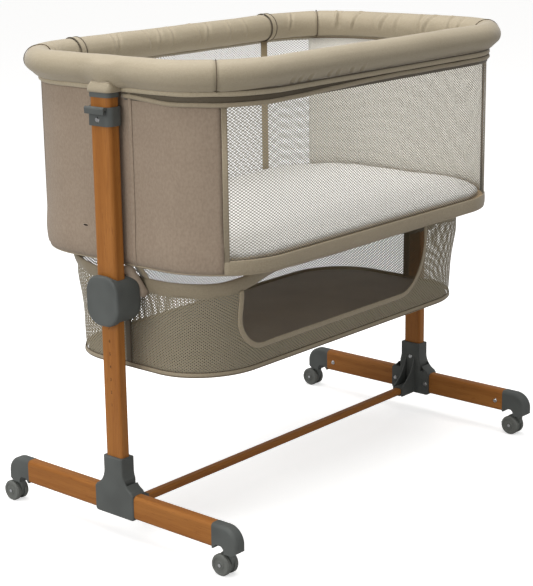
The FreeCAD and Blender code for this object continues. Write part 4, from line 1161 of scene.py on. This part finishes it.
        def raised(s: float, out: float, z: float) -> tuple[float, float]:
            """Follows the panel and rounds the strip over."""
            across = min(abs(s - post - self.strip_from_post), abs(s - post + self.strip_from_post))
            out, z = rule(s, out, z)
            return out + 0.0009 * (1 - (across / self.strip_half) ** 4), z

        map_cloth(bm, wall, lambda out, z: z)
        reshape(bm, wall, raised)
        return Piece(f"panel_strips_{side}", bm, self.wardrobe.melange).thick(0.0008).on("crib", "panel_fabric")

    def hem_cord(self) -> bpy.types.Object:
        """Rolled edge at the foot of all walls."""
        bm = bmesh.new()
        Stretch.whole(self.plan.wall, 0.012).carry(bm, circle(0.0017, 8, self.plan.hem_z + 0.0004, -0.0038), True)
        wall = self.plan.wall

        def tuck(s: float, out: float, z: float) -> tuple[float, float]:
            """Lies further out under the sides' hem bands than under the end panels."""
            front, rear = wall.mark(4, 0.5), 0.0
            aside = min(abs(s - front), abs(s - rear), abs(s - wall.length))
            return out + 0.0028 * (1 - ease(aside, 0.36, 0.42)), z

        reshape(bm, wall, tuck)
        return Piece("hem_cord", bm, self.wardrobe.binding).on("crib", "taupe_fabric")

    def mesh_side(self, facing: str) -> bpy.types.Object:
        """Mesh wall of one long side."""
        wall, plan = self.plan.wall, self.plan
        start, stop = self.span(facing)
        bm = bmesh.new()
        Stretch(wall, start, stop, 0.014).carry(bm, self.rows(plan.hem_z, plan.wall_top, 16, -0.0015), False)
        map_cloth(bm, wall, lambda out, z: z)
        finish = self.wardrobe.mesh if facing == "front" else self.wardrobe.rear_mesh
        piece = Piece(f"mesh_cloth_{facing}", bm, finish)
        stop - start
        return piece.on("crib", "mesh_fabric", f"{facing}_mesh")

    def bindings(self) -> bpy.types.Object:
        """Hem bands and edge bindings of both mesh sides, and on the front a dark top band of painted shadow under
        the welts.
        """
        wall, plan = self.plan.wall, self.plan
        low, high = plan.hem_z, plan.hem_z + self.hem_height
        band = [
            (-0.0012, low), (0.0002, low + 0.002), (0.0011, low + 0.006), (0.0013, low + 0.012),
            (0.0011, low + 0.018), (0.0007, high - 0.002), (-0.0004, high),
        ]
        top = [(0.0002, plan.wall_top - 0.0185), (0.0006, plan.wall_top - 0.017), (0.0006, plan.wall_top - 0.001)]
        edge = [(0.0006, high - 0.004), (0.0006, plan.wall_top - 0.002)]
        bm = bmesh.new()
        for facing in ("front", "rear"):
            start, stop = self.span(facing)
            Stretch(wall, start, stop, 0.010).carry(bm, band, False)
            if facing == "front":
                # painted shadow: a dark band under the welts, over the top of the front mesh
                dark = bmesh.new()
                Stretch(wall, start, stop, 0.014).carry(dark, top, False)
                Piece("mesh_top_shadow_band", dark, self.wardrobe.shadow).thick(0.0009).on("crib", "taupe_fabric")
            Stretch(wall, start, start + self.edge_width, 0.003).carry(bm, edge, False)
            Stretch(wall, stop - self.edge_width, stop, 0.003).carry(bm, edge, False)
        piece = Piece("wall_bindings", bm, self.wardrobe.binding).thick(0.0009)
        return piece.on("crib", "taupe_fabric", "mesh_bindings")

    def rear_strips(self) -> bpy.types.Object:
        """Upright strips inside the rear mesh, under the rail's straps."""
        wall, plan, half = self.plan.wall, self.plan, self.rear_strip_half
        rows = self.rows(plan.hem_z + 0.004, plan.wall_top, 12, -0.0032)
        bm = bmesh.new()
        for place in self.rear_strip_places:
            middle = place % wall.length
            Stretch(wall, middle - half, middle + half, 0.004).carry(bm, rows, False)
        return Piece("rear_strips", bm, self.wardrobe.strip).thick(0.0010).on("crib", "taupe_fabric")

    def build(self) -> None:
        """Makes all walls."""
        for side in ("left", "right"):
            self.end_panel(side)
            self.lining(side)
            self.post_strips(side)
            self.buttonholes(side)
        for facing in ("front", "rear"):
            self.mesh_side(facing)
        self.bindings()
        self.hem_cord()
        self.rear_strips()


@dataclass
class Mattress:
    """Thin crowned mattress on its board."""

    plan: Plan
    wardrobe: Wardrobe
    edge_gap: float = 0.008
    rounding: float = 0.006
    voxel: float = 0.008

    def build(self) -> None:
        """Makes the closed pad and lets it swell."""
        low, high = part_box("mattress")
        loop = self.plan.wall.grown(-self.edge_gap)
        top = high.z - 0.008
        r = self.rounding
        section = [
            (-0.09, low.z), (-r, low.z), (-0.3 * r, low.z + 0.3 * r), (0.0, low.z + r), (0.0, top - r),
            (-0.3 * r, top - 0.3 * r), (-r, top), (-0.03, top + 0.0012), (-0.09, top + 0.0030),
        ]
        bm = bmesh.new()
        Stretch.whole(loop, 0.016).carry(bm, section, False)
        weld(bm)
        close_holes(bm)
        piece = Piece("mattress_pad", bm, self.wardrobe.knit)
        puff(piece, self.voxel, pressure=2.0, most=0.004)
        for vert in piece.object.data.vertices:
            vert.co.z = max(low.z, vert.co.z)
        layer = piece.object.data.uv_layers.new(name="cloth")
        for corner in piece.object.data.loops:
            spot = piece.object.data.vertices[corner.vertex_index].co
            layer.data[corner.index].uv = (spot.x, spot.y)
        piece.on("crib", "mattress_fabric", "mattress")


# ---- storage basket

@dataclass
class Basket:
    """Mesh basket with a padded rim that dips at its corners, hung from the floor frame."""

    plan: Plan
    wardrobe: Wardrobe
    draw_in: float = 0.020       # of each long side, from the rim down to the floor
    lift: float = 0.029          # of the rim along the sides, over its corners
    lift_right: float = 0.018    # and over the right end's
    rim_half: float = 0.0045
    mouth_left: float = -0.322
    mouth_right: float = 0.208
    sill: float = 0.038
    mouth_corner: float = 0.062
    tab_foot: Triple = (-0.4085, -0.0480, 0.4450)
    tab_head: Triple = (-0.4290, -0.0270, 0.4985)
    tab_facing: Triple = (-0.714, -0.653, 0.252)
    tab_width: float = 0.0185
    strap_x: float = 0.200
    strap_y: float = 0.045
    strap_width: float = 0.020

    def rise(self, x: float, y: float) -> float:
        """How far the rim stands above its lowest corners."""
        along = 1 - ease(abs(x), 0.225, 0.375)
        low = self.lift_right if x > 0 else 0.0
        back = 0.6 * self.lift * ease(y - self.plan.basket.mid_y, 0.02, 0.16)
        return max(low + (self.lift - low) * along, back)

    def taper(self, z: float) -> float:
        """Half the basket's width at a height, over half its width at the rim."""
        share = min(1.0, (z - self.plan.floor_z) / (self.plan.seam_z - self.plan.floor_z))
        return 1 - self.draw_in * (1 - share) / self.plan.basket.half_y

    def settle(self, bm: bmesh.types.BMesh, stretch: bool) -> None:
        """Bends straight-sided work to the basket's taper and its rim's line."""
        plan = self.plan
        for vert in bm.verts:
            x, y, z = vert.co
            lift = self.rise(x, y)
            if stretch:
                share = ease((z - plan.floor_z) / (plan.seam_z - plan.floor_z), 0.0, 1.0)
                z += lift * share
            else:
                z += lift
            s, out = plan.basket.find(x, y)
            vert.co = plan.basket.at(s, out, z)
            vert.co.y = plan.basket.mid_y + (vert.co.y - plan.basket.mid_y) * self.taper(min(z, plan.seam_z))

    def from_mouth(self, x: float, z: float) -> float:
        """Distance from the mouth's outline, less than 0 inside it."""
        sill, corner = self.plan.floor_z + self.sill, self.mouth_corner
        middle, half = (self.mouth_left + self.mouth_right) / 2, (self.mouth_right - self.mouth_left) / 2
        dx, dz = abs(x - middle) - (half - corner), (sill + corner) - z
        if dx > 0 and dz > 0:
            return math.hypot(dx, dz) - corner
        return max(dx, dz) - corner

    def wall(self) -> bpy.types.Object:
        """Mesh wall, with the front mouth cut out."""
        plan = self.plan
        count = 26
        rows = [(-0.0008, plan.floor_z + (plan.seam_z + 0.004 - plan.floor_z) * i / count) for i in range(count + 1)]
        bm = bmesh.new()
        Stretch.whole(plan.basket, 0.0065).carry(bm, rows, False)
        weld(bm)
        front = [face for face in bm.faces if face.calc_center_median().y < plan.basket.mid_y - 0.12]
        inside = [face for face in front if all(self.from_mouth(v.co.x, v.co.z) < 0 for v in face.verts)]
        bmesh.ops.delete(bm, geom=inside, context="FACES")
        for vert in {vert for face in front if face.is_valid for vert in face.verts}:
            away = self.from_mouth(vert.co.x, vert.co.z)
            if away < 0:
                step = 1e-4
                slope_x = (self.from_mouth(vert.co.x + step, vert.co.z) - away) / step
                slope_z = (self.from_mouth(vert.co.x, vert.co.z + step) - away) / step
                vert.co.x -= away * slope_x
                vert.co.z -= away * slope_z
        map_cloth(bm, plan.basket, lambda out, z: z)
        self.settle(bm, True)

        def slack(s: float, out: float, z: float) -> tuple[float, float]:
            """Hangs slightly slack between rim and floor."""
            share = (z - plan.floor_z) / (plan.seam_z - plan.floor_z)
            sag = math.sin(math.pi * min(1.0, max(0.0, share)))
            return out + sag * (0.0035 * ripple(s * 7, z * 9, 4) - 0.0022), z

        reshape(bm, plan.basket, slack)
        piece = Piece("basket_mesh_wall", bm, self.wardrobe.basket, recalc=False)
        height = plan.seam_z - plan.floor_z + 0.012
        flat = (plan.basket.length, height)
        area = min(area_of(piece.object), flat[0] * flat[1])
        return piece.on("crib", "basket_mesh", "basket_wall")

    def rim(self) -> bpy.types.Object:
        """Padded sleeve that flares a little and wrinkles along the seam."""
        plan = self.plan
        middle, half = (plan.seam_z + plan.rim_z) / 2, (plan.rim_z - plan.seam_z) / 2
        ring = []
        for x, z in circle(1.0, 18, 0.0):
            square = math.copysign(abs(z) ** 0.75, z)
            ring.append((-self.rim_half + self.rim_half * x, middle + half * square))
        bm = bmesh.new()
        Stretch.whole(plan.basket, 0.006).carry(bm, ring, True)
        weld(bm)
        gape = plan.basket.mark(Corner.REAR_LEFT.value, 0.8)

        def crumple(s: float, out: float, z: float) -> tuple[float, float]:
            """Folds that run from the seam upwards."""
            low = 1 - (z - plan.seam_z) / (2 * half)
            fold = ripple(s * 38 + z * 20, z * 10, 7)
            fold += 0.6 * ripple(s * 95 - z * 60, z * 12, 2)
            flare = (0.0035 + 0.0075 * hump(s, gape, 0.075)) * (1 - low)
            return out + flare + 0.0018 * fold * low, z + 0.0012 * ripple(s * 12, 3, 1)

        reshape(bm, plan.basket, crumple)
        self.settle(bm, False)
        piece = Piece("basket_rim_sleeve", bm, self.wardrobe.rim).smooth()
        return piece.on("crib", "taupe_fabric", "basket_rim")

    def trim(self) -> bpy.types.Object:
        """Bound edge round the mouth."""
        plan = self.plan
        sill, corner = plan.floor_z + self.sill, self.mouth_corner
        low = sill + corner
        top = plan.seam_z + 0.004
        bm = bmesh.new()
        verts = bmesh.ops.create_circle(bm, cap_ends=False, segments=10, radius=1.0)["verts"]
        for vert in verts:
            across, thick = vert.co.x * 0.0046, vert.co.y * 0.0016
            vert.co = Vector((self.mouth_left + across, thick, top))
        row, edges = list(verts), list({edge for vert in verts for edge in vert.link_edges})

        def bend(x: float) -> Row:
            """Turns the band's end round a lower corner."""
            return parted(bmesh.ops.spin(
                bm, geom=row + edges, cent=(x, 0, low), axis=(0, -1, 0), dvec=(0, 0, 0), angle=math.pi / 2,
                steps=12, use_merge=False, use_duplicate=False,
            )["geom_last"])

        row, edges = push(bm, edges, Vector((0, 0, low - top)) / 8, 8)
        row, edges = bend(self.mouth_left + corner)
        row, edges = push(bm, edges, Vector((self.mouth_right - self.mouth_left - 2 * corner, 0, 0)) / 40, 40)
        row, edges = bend(self.mouth_right - corner)
        push(bm, edges, Vector((0, 0, top - low)) / 8, 8)
        loop = plan.basket
        for vert in bm.verts:
            x, thick, z = vert.co
            edge = abs(x) - (loop.half_x - loop.corner)
            round_off = loop.corner - math.sqrt(max(0.0, loop.corner ** 2 - edge ** 2)) if edge > 0 else 0.0
            vert.co = Vector((x, loop.mid_y - loop.half_y + round_off + thick - 0.0006, z))
        self.settle(bm, True)
        close_holes(bm)
        return Piece("basket_mouth_trim", bm, self.wardrobe.binding).smooth().on(
            "crib", "taupe_fabric", "basket_trim")

    def narrow(self, bm: bmesh.types.BMesh) -> None:
        """Draws work along the rim's outline in to the floor's."""
        middle = self.plan.basket.mid_y
        for vert in bm.verts:
            vert.co.y = middle + (vert.co.y - middle) * self.taper(self.plan.floor_z)

    def hem(self) -> bpy.types.Object:
        """Bound seam between the wall and the floor."""
        plan = self.plan
        ring = [(0.0006 + 0.0020 * x, plan.floor_z + 0.0035 + 0.0045 * z) for x, z in circle(1.0, 12, 0.0)]
        bm = bmesh.new()
        Stretch.whole(plan.basket, 0.010).carry(bm, ring, True)
        weld(bm)
        self.narrow(bm)
        made = Piece("basket_hem", bm, self.wardrobe.binding).on("crib", "taupe_fabric")
        bm = bmesh.new()
        for height, out in ((plan.floor_z + 0.0082, 0.0010), (plan.floor_z + 0.0012, 0.0024)):
            Stretch.whole(plan.basket, 0.012).carry(bm, circle(0.0006, 6, height, out), True)
        weld(bm)
        self.narrow(bm)
        Piece("basket_hem_stitching", bm, self.wardrobe.thread).on("crib", "taupe_fabric")
        return made

    def tab(self) -> bpy.types.Object:
        """Flat tab from the left panel's hem, beside the post, down to the rim."""
        foot, head = Vector(self.tab_foot), Vector(self.tab_head)
        facing = Vector(self.tab_facing)
        along = (head - foot).cross(facing).normalized()
        bm = bmesh.new()
        self.strap(bm, foot, head, along, self.tab_width)
        for vert in bm.verts:
            share = (vert.co - foot).dot(head - foot) / (head - foot).length_squared
            vert.co += facing * (0.0025 * math.sin(math.pi * share))
            if share < 0.01 and abs((vert.co - foot).dot(along)) < 0.001:
                vert.co += (foot - head).normalized() * 0.004
        return Piece("basket_tab", bm, self.wardrobe.tab, recalc=False).thick(0.0016).on("crib", "taupe_fabric")

    def seam_and_shadow_strips(self) -> bpy.types.Object:
        """Upright dark strips over the wall's end seams, behind the posts: partly bindings, partly painted shadow of
        the posts on the basket.
        """
        plan = self.plan
        loop = plan.basket
        rows = [(0.0004, plan.floor_z + 0.005 + (plan.seam_z - plan.floor_z - 0.004) * i / 12) for i in range(13)]
        bm = bmesh.new()
        for side in ("left", "right"):
            middle = plan.post(loop, side) - 0.012
            Stretch(loop, middle - 0.0080, middle + 0.0080, 0.005).carry(bm, rows, False)
        self.settle(bm, True)
        return Piece("basket_seam_and_shadow_strips", bm, self.wardrobe.shadow).thick(0.0010).on("crib", "taupe_fabric")

    def strap(self, bm: bmesh.types.BMesh, foot: Vector, head: Vector, along: Vector, width: float) -> None:
        """Adds a flat strap between two points.

        Args:
            bm: The mesh that gets it.
            foot: Middle of its lower end.
            head: Middle of its upper end.
            along: Direction of its width.
            width: Its width.
        """
        row = [bm.verts.new(foot + along * (width * side)) for side in (-0.5, 0.0, 0.5)]
        edges = [bm.edges.new(pair) for pair in zip(row, row[1:])]
        push(bm, edges, (head - foot) / 8, 8)

    def straps(self) -> bpy.types.Object:
        """Eight webbing straps from the rim up to the floor frame."""
        loop = self.plan.basket
        frame_low, frame_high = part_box("floor_frame")
        top = frame_low.z + 0.001
        bm = bmesh.new()

        def hang(x: float, y: float, head_x: float, head_y: float, along: Vector) -> None:
            """Adds one strap from a place on the rim to one on the frame."""
            foot = Vector((x, y, min(top - 0.004, self.plan.rim_z + self.rise(x, y) - 0.006)))
            self.strap(bm, foot, Vector((head_x, head_y, top)), along, self.strap_width)

        for x in (-self.strap_x, self.strap_x):
            for side in (-1, 1):
                head_y = frame_low.y + 0.007 if side < 0 else frame_high.y - 0.007
                hang(x, loop.mid_y + side * (loop.half_y - 0.004), x, head_y, Vector((1, 0, 0)))
        for way in (-1, 1):
            for side in (-1, 1):
                y = loop.mid_y + way * self.strap_y
                head_x = frame_low.x + 0.007 if side < 0 else frame_high.x - 0.007
                hang(side * (loop.half_x - 0.004), y, head_x, y, Vector((0, 1, 0)))
        return Piece("basket_hangers", bm, self.wardrobe.binding, recalc=False).thick(0.0015).on(
            "crib", "taupe_fabric", "basket_straps")

    def build(self) -> None:
        """Makes all pieces of the basket."""
        self.rim()
        self.wall()
        self.trim()
        self.hem()
        self.seam_and_shadow_strips()
        self.straps()
        self.tab()


# ---- stand and locks

@dataclass
class StandTrim:
    """Small things on the stand: the casters' rivets and the numerals of the height steps."""

    wardrobe: Wardrobe
    rivet_radius: float = 0.0031
    step_pitch: float = 0.0233
    first_step_z: float = 0.3897
    numeral_height: float = 0.0078

    def rivets(self) -> None:
        """Domed rivet on both sides of every caster."""
        for end in ("front", "rear"):
            for side in ("left", "right"):
                place = f"{end}_{side}"
                low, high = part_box(f"caster_frame_{place}")
                wheel_low, wheel_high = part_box(f"wheel_outer_{place}")
                y, z = (wheel_low.y + wheel_high.y) / 2, (wheel_low.z + wheel_high.z) / 2
                bm = bmesh.new()
                for x, way in ((low.x, -1), (high.x, 1)):
                    disc = bmesh.ops.create_circle(bm, cap_ends=True, segments=24, radius=self.rivet_radius)["verts"]
                    turn = Matrix.Rotation(math.pi / 2, 4, "Y")
                    bmesh.ops.transform(bm, matrix=turn, verts=disc)
                    bmesh.ops.translate(bm, verts=disc, vec=(x + way * 0.00005, y, z))
                    face = [f for f in bm.faces if all(v in disc for v in f.verts)]
                    bmesh.ops.inset_region(bm, faces=face, thickness=0.0009, depth=0.0, use_boundary=True)
                    for vert in {v for f in face for v in f.verts}:
                        vert.co.x += way * 0.0004
                Piece(f"caster_rivets_{place}", bm, self.wardrobe.zinc, recalc=False).on(
                    f"caster_{place}", "screw_steel")

    def numerals(self) -> None:
        """Small step numbers on the outer faces of the lower posts."""
        for side, way in (("left", -1), ("right", 1)):
            low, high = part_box(f"lower_post_{side}")
            x = low.x if way < 0 else high.x
            y = (low.y + high.y) / 2
            bm = bmesh.new()
            for number in range(7):
                curve = bpy.data.curves.new(f"numeral_{number}", "FONT")
                curve.body = str(7 - number)
                curve.size = self.numeral_height
                curve.align_x = curve.align_y = "CENTER"
                curve.extrude = 0.00008
                text = bpy.data.objects.new("numeral", curve)
                mesh = bpy.data.meshes.new_from_object(text)
                bpy.data.objects.remove(text)
                mesh.transform(
                    Matrix.Translation((x + way * 0.0001, y, self.first_step_z - number * self.step_pitch))
                    @ Matrix.Rotation(way * math.pi / 2, 4, "Z") @ Matrix.Rotation(math.pi / 2, 4, "X")
                )
                bm.from_mesh(mesh)
            Piece(f"step_numerals_{side}", bm, self.wardrobe.ink, recalc=False).on("base", "grey_plastic")

    def build(self) -> None:
        """Makes the rivets and numerals."""
        self.rivets()
        self.numerals()


def dress_frame(wardrobe: Wardrobe) -> None:
    """Gives the rigid nodes of the frame their materials, by the record's slots."""
    by_slot = {
        "grey_plastic": wardrobe.grey, "caster_plastic": wardrobe.caster, "wheel_plastic": wardrobe.wheel,
        "spring_steel": wardrobe.spring, "screw_steel": wardrobe.zinc, "frame_tube": wardrobe.tube,
        "board_wood": wardrobe.board, "basket_floor_fabric": wardrobe.felt, "wood_grain_tube": wardrobe.wood_z,
    }
    for row in frame["record"]["subparts"]:
        obj = frame["nodes"][row["node"]]
        finish = by_slot.get(row["material_slot"])
        if finish is None:
            continue
        if row["node"].startswith("foot_beam"):
            finish = wardrobe.wood_y
        elif row["node"] == "cross_bar":
            finish = wardrobe.wood_x
        obj.data.materials.clear()
        obj.data.materials.append(finish)


# ---- studio

@dataclass
class Studio:
    """Camera, floor and soft lights."""

    eye: Triple = (-2.2969, -1.9492, 1.1518)
    right: Triple = (0.67105431, -0.74109938, -0.02139655)
    up: Triple = (0.20091617, 0.15399558, 0.96742858)
    back: Triple = (-0.71366575, -0.65349603, 0.25223825)
    lens: float = 98.355
    sensor: float = 36.0
    shift: tuple[float, float] = (0.0839, -0.0084)
    surroundings: float = 0.44
    floor_glow: float = 0.58
    floor_bounce: float = 0.55

    def camera(self) -> None:
        """Sets the camera where the photograph was taken from."""
        data = bpy.data.cameras.new("camera")
        data.lens, data.sensor_width, data.sensor_fit = self.lens, self.sensor, "AUTO"
        data.shift_x, data.shift_y = self.shift
        data.clip_start, data.clip_end = 0.05, 50.0
        camera = bpy.data.objects.new("camera", data)
        turn = Matrix((self.right, self.up, self.back)).transposed().to_4x4()
        camera.matrix_world = Matrix.Translation(self.eye) @ turn
        bpy.context.scene.collection.objects.link(camera)
        bpy.context.scene.camera = camera

    def floor(self) -> None:
        """Large pale floor, which throws less light back than it shows."""
        bm = bmesh.new()
        bmesh.ops.create_grid(bm, x_segments=1, y_segments=1, size=12.0)
        book = NodeBook("studio_floor")
        finish = book.set(
            Base_Color=(0.88, 0.88, 0.88, 1.0), Roughness=0.9, Specular_IOR_Level=0.1,
            Emission_Color=(1.0, 1.0, 1.0, 1.0), Emission_Strength=self.floor_glow,
        )
        dull = book.node("ShaderNodeBsdfDiffuse", {}, {"Color": (self.floor_bounce,) * 3 + (1.0,)})
        path = book.node("ShaderNodeLightPath", {}, {})
        mixed = book.node("ShaderNodeMixShader", {}, {
            0: path.outputs["Is Camera Ray"], 1: dull.outputs[0], 2: book.shader.outputs[0],
        })
        out = next(node for node in book.tree.nodes if node.type == "OUTPUT_MATERIAL")
        book.tree.links.new(mixed.outputs[0], out.inputs["Surface"])
        floor = Piece("studio_floor", bm, finish, recalc=False).object

    def light(self, name: str, place: Triple, aim: Triple, size: float, power: float) -> None:
        """Adds a large soft light."""
        data = bpy.data.lights.new(name, "AREA")
        data.shape, data.size, data.energy = "SQUARE", size, power
        lamp = bpy.data.objects.new(name, data)
        lamp.location = place
        lamp.rotation_euler = (Vector(aim) - Vector(place)).to_track_quat("-Z", "Y").to_euler()
        bpy.context.scene.collection.objects.link(lamp)

    def world(self) -> None:
        """White surroundings: white to the camera, softer as light."""
        world = bpy.data.worlds.new("studio")
        world.use_nodes = True
        nodes, links = world.node_tree.nodes, world.node_tree.links
        nodes.clear()
        out = nodes.new("ShaderNodeOutputWorld")
        mixer = nodes.new("ShaderNodeMixShader")
        path = nodes.new("ShaderNodeLightPath")
        soft, plain = nodes.new("ShaderNodeBackground"), nodes.new("ShaderNodeBackground")
        soft.inputs[0].default_value = (1.0, 0.99, 0.97, 1.0)
        soft.inputs[1].default_value = self.surroundings
        plain.inputs[1].default_value = 1.0
        plain.inputs[0].default_value = (1.0, 1.0, 1.0, 1.0)
        links.new(path.outputs["Is Camera Ray"], mixer.inputs[0])
        links.new(soft.outputs[0], mixer.inputs[1])
        links.new(plain.outputs[0], mixer.inputs[2])
        links.new(mixer.outputs[0], out.inputs[0])
        bpy.context.scene.world = world

    def build(self) -> None:
        """Sets the studio up."""
        self.world()
        self.floor()
        self.light("overhead", place=(-0.3, 0.1, 3.2), aim=(0, 0, 0.4), size=2.6, power=88.0)
        self.light("from_left", place=(-3.4, 0.2, 1.7), aim=(0, 0, 0.5), size=2.0, power=41.0)
        self.camera()
        bpy.context.scene.view_settings.view_transform = "Standard"


def main() -> None:
    """Builds the crib's looks around the frame."""
    logging.basicConfig(level=logging.INFO, format="%(message)s")
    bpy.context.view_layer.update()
    plan, wardrobe = Plan.read(), Wardrobe()
    dress_frame(wardrobe)
    PaddedRail(plan, wardrobe).build()
    ClothWalls(plan, wardrobe).build()
    Mattress(plan, wardrobe).build()
    Basket(plan, wardrobe).build()
    StandTrim(wardrobe).build()
    Studio().build()


if __name__ == "__main__":
    main()
